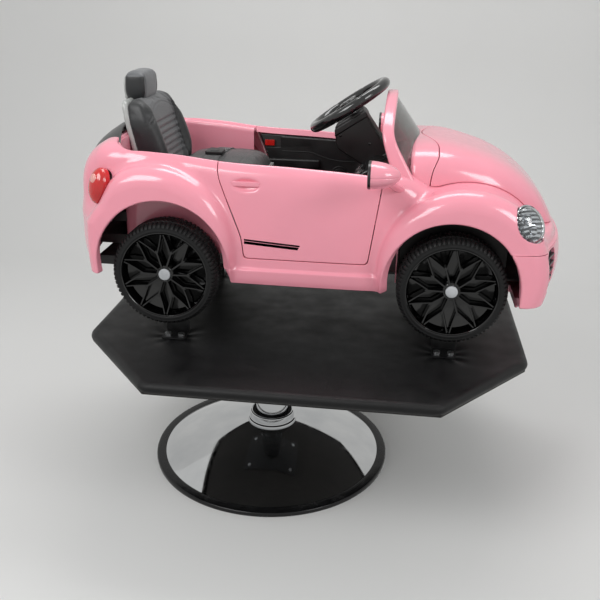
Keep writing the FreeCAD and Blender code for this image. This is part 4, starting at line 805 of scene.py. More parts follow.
# More forms
def slab(outline, axis, low, high, bevel=1.5, segments=3):
    """A flat outline made thick along an axis, with rounded edges. The outline's pairs are the
    other two coordinates in order."""
    low, high = sorted((low, high))
    shape = bmesh.new()
    places = []
    for a, b in outline:
        place = [a, b]
        place.insert(axis, low)
        places.append(shape.verts.new(place))
    face = shape.faces.new(places)
    raised = bmesh.ops.extrude_face_region(shape, geom=[face])
    way = Vector((0, 0, 0))
    way[axis] = high - low
    bmesh.ops.translate(shape, vec=way, verts=[item for item in raised["geom"]
                                               if isinstance(item, bmesh.types.BMVert)])
    rims = [edge for edge in shape.edges
            if len({round(vertex.co[axis], 3) for vertex in edge.verts}) == 1]
    if bevel:
        bmesh.ops.bevel(shape, geom=rims, offset=bevel, segments=segments, profile=0.6,
                        affect="EDGES")
    bmesh.ops.recalc_face_normals(shape, faces=shape.faces[:])
    shape.verts.index_update()
    points = np.array([vertex.co for vertex in shape.verts])
    faces = [[vertex.index for vertex in each.verts] for each in shape.faces]
    shape.free()
    return points, faces


def ring_about(radius, section, steps=48):
    """A closed section of (outward, up) places turned about +Z."""
    return spun([(radius + a, b) for a, b in section], steps)


def facing(profile, steps, size, place=(0, 0, 0), **options):
    """A profile turned about +X, stretched to a size and moved to a place."""
    points, faces = spun(profile, steps, **options)
    return points[:, [2, 0, 1]] * size + place, faces


def disc_section(radius, steps=10, width=1.0):
    """An oval section."""
    return [(radius * width * math.cos(2 * math.pi * k / steps),
             radius * math.sin(2 * math.pi * k / steps)) for k in range(steps)]


def domed(radius, rise, steps=48, rings=8, foot=0.0):
    """A shallow dome about +Z with a short skirt down to its foot."""
    rows = [(max(radius * math.sin(math.pi / 2 * k / rings), 0.001),
             rise * math.cos(math.pi / 2 * k / rings)) for k in range(rings + 1)]
    if foot:
        rows.append((radius, -foot))
        rows.append((0.001, -foot))
    return spun(rows, steps, closed=False)


# The two lamps of a side: place, turn, tilt, roll, and half sizes deep, wide and long
HEADLAMP = ((593, 277, 777), 48, 24, 25, (22, 36, 42))
TAIL_LAMP = ((-352, 267, 814), 130, 14, 0, (22, 27, 41))


def lamp_frame(lamp, side):
    """A lamp's own axes: +X looks out."""
    place, turn, tilt, roll, _ = lamp
    return (Matrix.Translation((place[0], side * place[1], place[2]))
            @ Matrix.Rotation(math.radians(side * turn), 4, "Z")
            @ Matrix.Rotation(math.radians(-tilt), 4, "Y")
            @ Matrix.Rotation(math.radians(-side * roll), 4, "X"))


def lamp_field(x, y, z, lamp, grow):
    """Distance outside the two pods of a kind of lamp."""
    place, turn, tilt, roll, half = lamp
    turn, tilt, roll = (math.radians(angle) for angle in (turn, tilt, roll))
    a, b, c = x - place[0], np.abs(y) - place[1], z - place[2]
    ahead = a * math.cos(turn) + b * math.sin(turn)
    across = -a * math.sin(turn) + b * math.cos(turn)
    out = ahead * math.cos(tilt) + c * math.sin(tilt)
    up = -ahead * math.sin(tilt) + c * math.cos(tilt)
    across, up = (across * math.cos(roll) - up * math.sin(roll),
                  across * math.sin(roll) + up * math.cos(roll))
    deep, wide, long = (size + grow for size in half)
    near = np.sqrt((out / (deep + 14)) ** 2 + (across / wide) ** 2 + (up / long) ** 2)
    slope = np.sqrt((out / (deep + 14) ** 2) ** 2 + (across / wide ** 2) ** 2
                    + (up / long ** 2) ** 2)
    return near * (near - 1) / np.maximum(slope, 1e-4)


def grille_field(x, y, z):
    """Distance outside the two openings in the front bumper."""
    window = cornered(np.abs(np.abs(y) - 246) - 38, np.abs(z - 670) - 42, 8)
    return np.maximum(window, 600 - x)


def reached(inside, shape, low, high):
    """How far out a form goes between two places, by halving."""
    low, high = np.full(shape, float(low)), np.full(shape, float(high))
    for _ in range(22):
        middle = (low + high) / 2
        within_it = inside(middle)
        low, high = np.where(within_it, middle, low), np.where(within_it, high, middle)
    return (low + high) / 2


def door_stripe(side, low, high):
    """A stripe of film along the foot of a door, on its surface."""
    rows = []
    for up in np.linspace(low, high, 3):
        x = np.linspace(-23, 104 + 0.5 * up, 64)
        z = 709 - 0.068 * (x + 26) + up
        y = reached(lambda y: body_field(x, y, z) < 0, x.shape, 200, 330)
        rows.append(np.column_stack([x, side * (y + 0.3), z]))
    points = np.vstack(rows)
    return points, lattice(3, 64), unit(slope_at(body_field, points))


def cockpit_line(half, end, start, corner):
    """Half of a rounded rectangle seen from above, from one side round the end to the other."""
    turn = math.copysign(corner, end - start)
    straight = np.linspace(0, 1, 13)
    arc = np.linspace(0, math.pi / 2, 9)[1:]
    side = start + (end - turn - start) * straight
    bend_x, bend_y = end - turn + turn * np.sin(arc), half - corner * (1 - np.cos(arc))
    back_x = end - turn * (1 - np.cos(arc))
    across = -half + corner + (2 * half - 2 * corner) * straight[1:]
    return np.vstack([
        np.column_stack([side, np.full(13, -half)]), np.column_stack([bend_x, -bend_y]),
        np.column_stack([np.full(12, end), across]),
        np.column_stack([back_x, half - corner + corner * np.sin(arc)]),
        np.column_stack([side[::-1][1:], np.full(12, half)])]).astype(float)


def tub_liner(front):
    """The moulded ledge and wall inside the cockpit's rim, behind or ahead of the doors."""
    end, inner_end, start, foot = (318, 315, 288, 800) if front else (-330, -326, -88, 652)
    outer = cockpit_line(OPENING_HALF, end, start, 60)
    inner = cockpit_line(LINER_HALF, inner_end, start, 40)
    top = reached(lambda z: body_field(outer[:, 0], outer[:, 1] * 1.004, z) < 0,
                  len(outer), 700, 960)
    rows = []
    for share, drop in ((-0.06, 9), (0.1, 6.5), (0.35, 5.5), (0.7, 5.8), (0.88, 7.5),
                        (0.97, 11), (1, 17), (1, 60)):
        line = outer + (inner - outer) * share
        rows.append(np.column_stack([line, top - drop]))
    rows.append(np.column_stack([inner, np.full(len(inner), float(foot))]))
    rows = np.array(rows)
    count = rows.shape[1]
    return rows.reshape(-1, 3), lattice(len(rows), count).tolist()


# Padded pieces
def modified(points, faces, kind, prepare, frames=0):
    """A form as a modifier leaves it, after a number of frames."""
    scene = bpy.context.scene
    mesh = bpy.data.meshes.new("form")
    mesh.from_pydata((points * MM).tolist(), [], [[int(i) for i in face] for face in faces])
    piece = bpy.data.objects.new("form", mesh)
    scene.collection.objects.link(piece)
    prepare(piece.modifiers.new("Form", kind))
    for number in range(1, frames + 1):
        scene.frame_set(number)
    result = piece.evaluated_get(bpy.context.evaluated_depsgraph_get())
    shape = result.to_mesh()
    points = np.array([vertex.co[:] for vertex in shape.vertices]) / MM
    faces = np.array([list(polygon.vertices) for polygon in shape.polygons])
    result.to_mesh_clear()
    bpy.data.objects.remove(piece)
    if frames:
        scene.frame_set(1)
    return points, faces


def plumped(points, faces, pressure, limit):
    """A closed form blown up as sewn cloth, with each point's way kept within a limit."""

    def sew(cloth):
        settings = cloth.settings
        settings.quality, settings.mass = 4, 0.3
        settings.use_pressure, settings.uniform_pressure_force = True, pressure
        settings.effector_weights.gravity = 0

    way = modified(points, faces, "CLOTH", sew, 20)[0] - points
    length = np.linalg.norm(way, axis=1)
    return points + way * np.minimum(1, limit / np.maximum(length, 1e-6))[:, None]


def subdivided(points, faces):
    """Once divided and smoothed."""
    def divide(form):
        form.levels = 1

    return modified(points, faces, "SUBSURF", divide)


def cushion_field(x, y, z):
    front, length, low = -22, 210, 793
    high, wide = along(((0, 0.62, 0.9), (0.1, 0.88, 0.96), (0.3, 1, 1), (0.6, 0.97, 1),
                        (0.92, 0.88, 0.98), (1, 0.75, 0.94)), (front - x) / length)
    wide = wide * 155
    top = low + high * 43 - 14 * (y / wide) ** 2 - z
    side = np.abs(y) - wide + 4 * ((z - 812) / 20) ** 2
    form = within(side, -top, 16)
    form = within(form, np.maximum(x - front, front - length - x), 16)
    return within(form, low - z, 7)


# The seat's back: the height it starts from, its rise and half-width, and shares of half-width
# and depth at shares of its rise
BACK_FOOT, BACK_RISE, BACK_HALF = 793, 196, 128
BACK = ((0, 0.92, 0.92), (0.15, 0.97, 1), (0.5, 1, 1), (0.8, 0.96, 0.92), (0.95, 0.86, 0.76),
        (1, 0.78, 0.66))


def lean_of(up):
    """How far back the seat's back leans at a height over its foot."""
    return -269 - up * 46 / BACK_RISE


def back_field(x, y, z):
    up = z - BACK_FOOT
    wide, deep = along(BACK, up / BACK_RISE)
    wide, deep = wide * BACK_HALF, deep * 20
    share = np.abs(y) / wide
    deeper = along(((0, 20), (0.35, 24), (0.6, 19), (0.85, 9), (1, 4)),
                   up / BACK_RISE)[0]
    wing = deeper * np.sqrt(np.clip(1 - ((share - 0.83) / 0.17) ** 2, 0, 1))
    centre = lean_of(up)
    form = within(x - centre - deep - wing, centre - deep - x, 9)
    form = within(form, np.abs(y) - wide, 10)
    form = within(form, up - BACK_RISE + 2, 18)
    return within(form, -up, 5)


def headrest_field(x, y, z):
    up = (z - 972) / 70
    size = along(((0, 0.86), (0.2, 0.97), (0.6, 1), (0.88, 0.93), (1, 0.82)), up)[0]
    form = within(np.abs(y) - 57 * size, np.abs(x + 329) - 25 * size, 13)
    form = within(form, z - 1041.5, 15)
    return within(form, 972 - z, 5)


# Settings: what a user may change
def length(name, description, default, least, most):
    """A length that a user may set. The numbers are millimetres."""
    return FloatProperty(name=name, description=description, unit="LENGTH",
                         default=default * MM, min=least * MM, max=most * MM)


class BodySettings(bpy.types.PropertyGroup):
    """Sizes and colours of the moulded body"""
    pink: FloatVectorProperty(
        name="Pink", description="Colour of the moulded body", subtype="COLOR", min=0, max=1,
        default=linear("#F09AAA"))
    step: length("Mesh step", "Size of the skin's faces", 4, 3, 8)
    panel_edge: length("Panel edge", "Rounding of the edges between panels", 1.2, 0.5, 3)
    rim_edge: length("Rim edge", "Rounding of the cockpit's rim", 5, 2, 8)


class WheelSettings(bpy.types.PropertyGroup):
    """Sizes of the tyres and rims"""
    lugs: IntProperty(
        name="Lugs", description="Blocks round a tyre's shoulder", default=72, min=24, max=96)
    groove: length("Groove", "Depth between the lugs", 2.6, 0, 4)
    spokes: IntProperty(
        name="Spokes", description="Forked spokes of a rim", default=10, min=5, max=14)


class SeatSettings(bpy.types.PropertyGroup):
    """Padding and channels of the seat"""
    pressure: FloatProperty(
        name="Pressure", description="Pressure in the padding while it is formed",
        default=4.0, min=0, max=8)
    swell: length("Swell", "How far the padding may swell", 6, 0, 12)
    channel: length("Channel", "Depth of the back's sewn channels", 3.2, 0, 6)


class PedestalSettings(bpy.types.PropertyGroup):
    """Smoothness and padding of what carries the car"""
    steps: IntProperty(
        name="Steps", description="Faces round the disc", default=192, min=64, max=256)
    dip: length("Dip", "How far the pad sinks round the brackets", 2.6, 0, 5)


class StageSettings(bpy.types.PropertyGroup):
    """Light, floor and camera"""
    paint: FloatVectorProperty(
        name="Paint", description="Colour of the floor and backdrop", subtype="COLOR", min=0,
        max=1, default=linear("#DEDEDC"))
    key: FloatProperty(name="Key light", description="Light from above on the left",
                       unit="POWER", default=40, min=0, max=300)
    fill: FloatProperty(name="Fill light", description="Light from the right",
                        unit="POWER", default=18, min=0, max=300)
    sky: FloatProperty(name="Room light", description="Even light from all round",
                       default=0.5, min=0, max=2)
    lens: FloatProperty(name="Lens", description="The camera's focal length",
                        subtype="DISTANCE_CAMERA", default=46.8, min=20, max=120)


# Pieces
class CHAIR_OT_stage(bpy.types.Operator):
    """Make the floor, the backdrop, the lights and the camera"""
    bl_idname = "chair.stage"
    bl_label = "Stage"

    def execute(self, context):
        settings = context.scene.chair_stage
        scene = context.scene
        floor, reach, bend, high = -2600, 2300, 900, 3600
        line = [(floor, 0), (-600, 0), (reach - bend, 0)]
        line += [(reach - bend + bend * math.sin(math.pi / 2 * k / 16),
                  bend * (1 - math.cos(math.pi / 2 * k / 16))) for k in range(1, 17)]
        line.append((reach, high))
        points = [(x, y, z) for y, z in line for x in (-4200, 4200)]
        sheet = make_piece("backdrop", points, lattice(len(line), 2),
                           pale_paint(tuple(settings.paint)))

        world = bpy.data.worlds.new("room")
        scene.world = world
        world.use_nodes = True
        tree = world.node_tree
        rays = add(tree, "ShaderNodeLightPath")
        sky = tree.nodes["Background"]
        sky.inputs["Color"].default_value = colour("#F4F5F7")
        sky.inputs["Strength"].default_value = settings.sky
        plain = add(tree, "ShaderNodeBackground", Color=colour("#E9E9E7"), Strength=0.85)
        seen = add(tree, "ShaderNodeMath", {0: rays.outputs["Is Camera Ray"],
                                            1: rays.outputs["Is Glossy Ray"]},
                   operation="MAXIMUM")
        mix = add(tree, "ShaderNodeMixShader", {0: seen.outputs["Value"],
                                                1: sky.outputs["Background"],
                                                2: plain.outputs["Background"]})
        tree.links.new(mix.outputs["Shader"], tree.nodes["World Output"].inputs["Surface"])

        for name, place, size, power in (
                ("key_light", (-1.3, -1.9, 2.7), (1.6, 1.2), settings.key),
                ("fill_light", (2.0, -1.5, 2.1), (0.9, 0.9), settings.fill),
                ("top_light", (0.2, 0.6, 2.9), (1.8, 0.7), settings.fill * 1.2)):
            lamp = bpy.data.lights.new(name, "AREA")
            lamp.shape, lamp.size, lamp.size_y = "RECTANGLE", size[0], size[1]
            lamp.energy = power
            holder = bpy.data.objects.new(name, lamp)
            scene.collection.objects.link(holder)
            holder.location = place
            aim = Vector((0.1, 0, 0.7)) - Vector(place)
            holder.rotation_euler = aim.to_track_quat("-Z", "Y").to_euler()

        camera = bpy.data.cameras.new("camera")
        camera.lens, camera.sensor_width = settings.lens, 36
        holder = bpy.data.objects.new("camera", camera)
        scene.collection.objects.link(holder)
        yaw, pitch, roll = 0.1205, 0.3828, 0.0184
        ahead = Vector((-math.sin(yaw) * math.cos(pitch), math.cos(yaw) * math.cos(pitch),
                        -math.sin(pitch)))
        level = Vector((math.cos(yaw), math.sin(yaw), 0))
        above = level.cross(ahead)
        across = math.cos(roll) * level + math.sin(roll) * above
        up = -math.sin(roll) * level + math.cos(roll) * above
        place = Matrix((across, up, -ahead)).transposed().to_4x4()
        place.translation = Vector((0.3052, -1.9131, 1.2367))
        holder.matrix_world = place
        scene.camera = holder
        scene.view_settings.view_transform = "Standard"
        return {"FINISHED"}


class CHAIR_OT_body(bpy.types.Operator):
    """Mould the body's skin and cut it into its panels"""
    bl_idname = "chair.body"
    bl_label = "Body, doors and bumper"

    def execute(self, context):
        settings = context.scene.chair_body
        step, panel_edge = settings.step / MM, settings.panel_edge / MM
        rim = settings.rim_edge / MM
        pink = moulded_polypropylene_pink(tuple(settings.pink))
        film = black_film()
        skin = skin_of(body_field, BODY_LOW, BODY_HIGH, step)
        arch = (arch_field, 4, 14)
        opening = (cockpit_field, rim, 14)
        head = (lambda x, y, z: lamp_field(x, y, z, HEADLAMP, 3.2), 1.2, 12)
        tail = (lambda x, y, z: lamp_field(x, y, z, TAIL_LAMP, 0.6), 1.2, 12)

        def foot(x, y, z):
            return z - SILL - 17 * ramp((-300 - x) / 50)

        def beside_doors(x, y, z):
            return np.where(np.abs(y) > 150, -door_field(x, y, z) - 2, 99.0)

        points, faces, normals = panel(*skin, body_field, [
            (foot, 4, 10), arch, opening, (beside_doors, panel_edge, 10),
            (bumper_split_field, panel_edge, 6), head, tail])
        forms = [(points, faces.tolist(), normals)]
        cowl = skin_of(hood_field, HOOD_LOW, HOOD_HIGH, step)
        forms.append(panel(*cowl, hood_field, [
            (lambda x, y, z: hood_seam(y) - 0.8 - x, 1.5, 6), (body_field, 0.3, 4)]))
        moulding = gathered(*[form[:2] for form in forms])
        show("body_moulding", *moulding, pink, "deck", "pink_body", "body_shell",
             normals=np.vstack([form[2] for form in forms]))

        inside = [tub_liner(False), tub_liner(True),
                  box_form((318, -236, 613), (321, 236, 812), 1)]
        for low, high in ((-264, -236), (236, 264)):
            inside += [box_form((-48, low, 653), (285, high, 661), 2),
                       box_form((-41, low, 609.2), (275, high, 613), 1)]
        show("cockpit_liner", *gathered(*inside), pink, "deck", "pink_body")

        points, faces, normals = panel(*skin, body_field, [
            (lambda x, y, z: -bumper_split_field(x, y, z) - 1, panel_edge, 6), arch,
            (grille_field, 2, 8)])
        show("bumper_moulding", points, faces, pink, "deck", "pink_body", "front_bumper",
             normals=normals)

        points, faces, normals = panel(*cowl, hood_field, [
            (lambda x, y, z: x - hood_seam(y) - 0.8, 1.5, 6),
            (lambda x, y, z: body_field(x, y, z) - 1, 1.5, 4)])
        show("hood_moulding", points, faces, pink, "deck", "pink_body", "hood", normals=normals)

        for side, name in SIDES:
            def inside_door(x, y, z, side=side):
                return np.where(y * side > 150, door_field(x, y, z), -99.0)

            points, faces, normals = panel(*skin, body_field, [
                (inside_door, panel_edge, 10), opening])
            grip = rounded([(-51, 827), (12, 827), (12, 838), (-51, 838)], 4)
            bar = slab(grip, 1, side * 256.5, side * 266, 2)
            show("door_moulding_" + name, points, faces, pink, "door_" + name, "pink_body",
                 "door_" + name, normals=normals)
            show("door_handle_" + name, *bar, pink, "door_" + name, "pink_body")
            for number, (low, high) in enumerate(((-4, 0), (-11.5, -5.2))):
                points, faces, normals = door_stripe(side, low, high)
                show("door_stripe_%s_%d" % (name, number + 1), points, faces, film,
                     "door_" + name, "black_plastic", normals=normals)
        return {"FINISHED"}


class CHAIR_OT_wheels(bpy.types.Operator):
    """Make the treaded tyres and the spoked rims with their caps"""
    bl_idname = "chair.wheels"
    bl_label = "Wheels"

    def execute(self, context):
        settings = context.scene.chair_wheels
        tread = rubber("moulded_tyre_rubber", "#080809", "#141415", 0.6, 1.6)
        gloss = moulded_plastic("gloss_black_rim", "#020202", "#060607", 0.12, 2.2, 0.3, 0.03)
        silver = moulded_plastic("silver_painted_cap", "#A3A6A8", "#BDBFC1", 0.28, 1.5, 0.3,
                                 0.03)
        tyre, rim, cap = self.tyre(settings), self.rim(settings), self.cap()
        for end, x in (("rear", REAR_AXLE), ("front", FRONT_AXLE)):
            turn = Matrix.Rotation(math.pi / 2, 4, "X")
            turn.translation = (x, -TRACK_HALF, AXLE_HEIGHT)
            for side in ("right", "left"):
                where = end + "_" + side
                for form, name, finish, slot, node in (
                        (tyre, "treaded_tyre_", tread, "tyre", "tyre_"),
                        (rim, "spoked_rim_", gloss, "wheel_black", "rim_"),
                        (cap, "rim_cap_", silver, "bright_steel", None)):
                    placed = carried(form, turn)
                    if side == "left":
                        placed = mirrored(placed)
                    show(name + where, *placed, finish, "wheel_" + where, slot,
                         *([node + where] if node else []), crease=38)
        return {"FINISHED"}

    def tyre(self, settings):
        """Half the profile as radius, height and share of the lugs' depth, then mirrored."""
        half = ((101, 38, 0), (102.5, 39.4, 0), (106, 40, 0), (107.5, 39.2, 0), (110, 39.2, 0),
                (112, 39.6, 0.1), (114, 38.8, 1), (117.3, 36, 1), (119.9, 32, 1),
                (121.2, 27, 1), (121.8, 21, 1), (121.9, 17, 1), (119, 16, 0), (119, 13, 0),
                (121.9, 12, 0.55), (122, 6, 0.55), (119.5, 1.6, 0))
        rows = list(half) + [(radius, -height, lug) for radius, height, lug in reversed(half)]
        groove = settings.groove / MM

        def swell(row, step):
            low = step % 6 in (0, 1) if rows[row][1] > 0 else step % 6 in (3, 4)
            depth = -groove * rows[row][2] if low else 0
            up = depth * 0.7 if abs(rows[row][1]) > 30 else 0
            return depth, up if rows[row][1] > 0 else -up

        return spun([row[:2] for row in rows], settings.lugs * 6, True, swell)

    def rim(self, settings):
        barrel = spun([(101, 38), (101.2, 38.4), (99.5, 39), (98, 37.5), (97, 33), (96, 20),
                       (94, 8), (84, 3), (40, 1), (20, 1), (17, 5), (17, 25), (8, 25),
                       (8, -10), (17, -10), (17, -5), (40, -3), (90, -2), (97, -6),
                       (97, -38), (101, -38)], 120)
        forms = [barrel]
        wide = [(-3, -17), (-2.6, 4), (-1.7, 6.4), (1.7, 6.4), (2.6, 4), (3, -17)]
        slim = [(a * 0.78, b) for a, b in wide]
        for index in range(settings.spokes):
            angle = 2 * math.pi * index / settings.spokes
            fork = math.pi / settings.spokes * 0.9

            def at(radius, turn, height):
                turn += angle
                return radius * math.cos(turn), radius * math.sin(turn), height

            forms.append(swept([at(15, 0, 25.5), at(30, 0, 25), at(44, 0, 23.5), at(58, 0, 23)],
                               wide))
            for sign in (-1, 1):
                forms.append(swept([at(50, 0, 22.8), at(60, sign * fork * 0.36, 23),
                                    at(72, sign * fork * 0.66, 24),
                                    at(85, sign * fork * 0.88, 26.5),
                                    at(97.5, sign * fork * 1.03, 30)], slim))
        forms.append(ring_about(17, [(-3, -6), (-3, 4), (-1.5, 5.6), (1.5, 5.6), (3, 4),
                                     (3, -6)], 60))
        forms[-1] = carried(forms[-1], Matrix.Translation((0, 0, 25)))
        return gathered(*forms)

    def cap(self):
        dome = domed(13.5, 2.4, 48, 8, 5)
        raised = ring_about(11.6, disc_section(0.9, 8), 48)
        return carried(gathered(dome, raised), Matrix.Translation((0, 0, 32.4)))


class CHAIR_OT_deck(bpy.types.Operator):
    """Cover the deck's board with its padded vinyl"""
    bl_idname = "chair.deck"
    bl_label = "Deck"

    def execute(self, context):
        settings = context.scene.chair_pedestal
        dip = settings.dip / MM

        half_length, half_width, corner_reach, rounding = 528, 482, 554.6, 14

        def octagon(x, y):
            far, wide = np.abs(x - DECK_CENTRE), np.abs(y)
            corner = 0.7675 * far + 0.6411 * wide - corner_reach
            return within(within(far - half_length, wide - half_width, rounding), corner,
                          rounding)

        def pad(x, y, z):
            top = DECK_TOP - 0.4
            for place in (REAR_AXLE, FRONT_AXLE):
                for foot in (-224, 224):
                    aside = np.hypot(np.maximum(np.abs(x - place) - 26, 0),
                                     np.maximum(np.abs(y - foot) - 24, 0))
                    turn = np.arctan2(y - foot, x - place)
                    fade = np.exp(-(aside / 34) ** 2)
                    top = top - dip * fade * (1 + 0.35 * np.cos(9 * turn) * (aside > 0))
            top = top + 0.5 * np.sin(x / 61 + 1.3) * np.sin(y / 47)
            thick = np.maximum(z - top, DECK_FOOT - z)
            return within(octagon(x, y) + 0.012 * (z - 425) ** 2 - 2, thick, 15)

        points, faces = skin_of(pad, (-436, -500, 400), (656, 500, 452), 7)
        points, faces = trimmed(points, faces, pad,
                                lambda x, y, z: np.maximum(z - 414, octagon(x, y) + 42), 1.5)
        hide = vinyl("embossed_black_vinyl", "#0A0A0B", "#121213", 0.42, 2.6, 0.22, 0.02,
                     shine=0.28)
        cover = show("deck_cover", points, faces, hide, "deck", "deck_vinyl", "deck_pad",
                     normals=unit(slope_at(pad, points, 1.2)))
        # the board's near-black colour is painted shade under the deck
        finish_nodes(plywood_painted_shade(), "deck_board")
        finish_nodes(powder_coated_steel(), "mounting_plate", "axle_brackets")
        finish_nodes(zinc_plated_steel(), "plate_bolts", "bracket_bolts", "rear_axle",
                     "front_axle", "door_hinge_rods", "steering_shaft")
        return {"FINISHED"}


class CHAIR_OT_pedestal(bpy.types.Operator):
    """Turn the chromed disc, its edge ring, the collar and the lift tube"""
    bl_idname = "chair.pedestal"
    bl_label = "Pedestal"

    def execute(self, context):
        steps = context.scene.chair_pedestal.steps
        chrome = chromed_steel()
        foot, top, radius = (301, 12), (68, 95), 900
        chord = math.dist(foot, top)
        rise = radius - math.sqrt(radius ** 2 - (chord / 2) ** 2)
        out = ((top[1] - foot[1]) / chord, (foot[0] - top[0]) / chord)
        dome = []
        for share in np.linspace(0, 1, 29):
            bulge = rise * (1 - (2 * share - 1) ** 2)
            dome.append(tuple(foot[i] + (top[i] - foot[i]) * share + out[i] * bulge
                              for i in (0, 1)))
        below = [(out_to - 1.5, height - 3) for out_to, height in reversed(dome)]
        show("chromed_disc", *spun([(300.5, 7)] + dome + below, steps), chrome, "base",
             "chrome", "base_disc")

        trim = rubber("gloss_edge_trim", "#0D0D0E", "#19191A", 0.22, 3)
        section = rounded([(287, 0), (327, 0), (327, 12), (301, 12), (301, 6), (287, 6)],
                          [0, 2.5, 6, 2.5, 0, 0], 5)
        show("edge_trim_ring", *spun(section, steps), trim, "base", "edge_trim",
             "base_edge_ring")

        section = rounded([(55, 95), (68, 95), (68, 104), (62, 104), (62, 125), (55, 125)],
                          [0, 1, 3, 2, 3, 1.5], 4)
        show("stepped_collar", *spun(section, 128), chrome, "base", "chrome", "base_collar")

        section = [(41, 97), (45, 97), (45, 380.8), (43, 382.8), (16, 382.8), (16, 399.8),
                   (15, 400.8), (0.01, 400.8), (0.01, 374.8), (41, 374.8)]
        show("chromed_tube", *spun(section, 128), chrome, "lift", "chrome", "lift_column")

        finish_nodes(rubber("seal_rubber", "#0B0B0C", "#1C1C1D", 0.7, 1), "collar_seal")
        finish_nodes(powder_coated_steel(), "pump_cylinder", "pedal_bracket")
        finish_nodes(zinc_plated_steel(), "pedal_pin")
        finish_nodes(chrome, "piston_rod", "pump_pedal")
        finish_nodes(rubber("pedal_rubber", "#0E0E0F", "#232324", 0.75, 2), "pedal_pad")
        return {"FINISHED"}


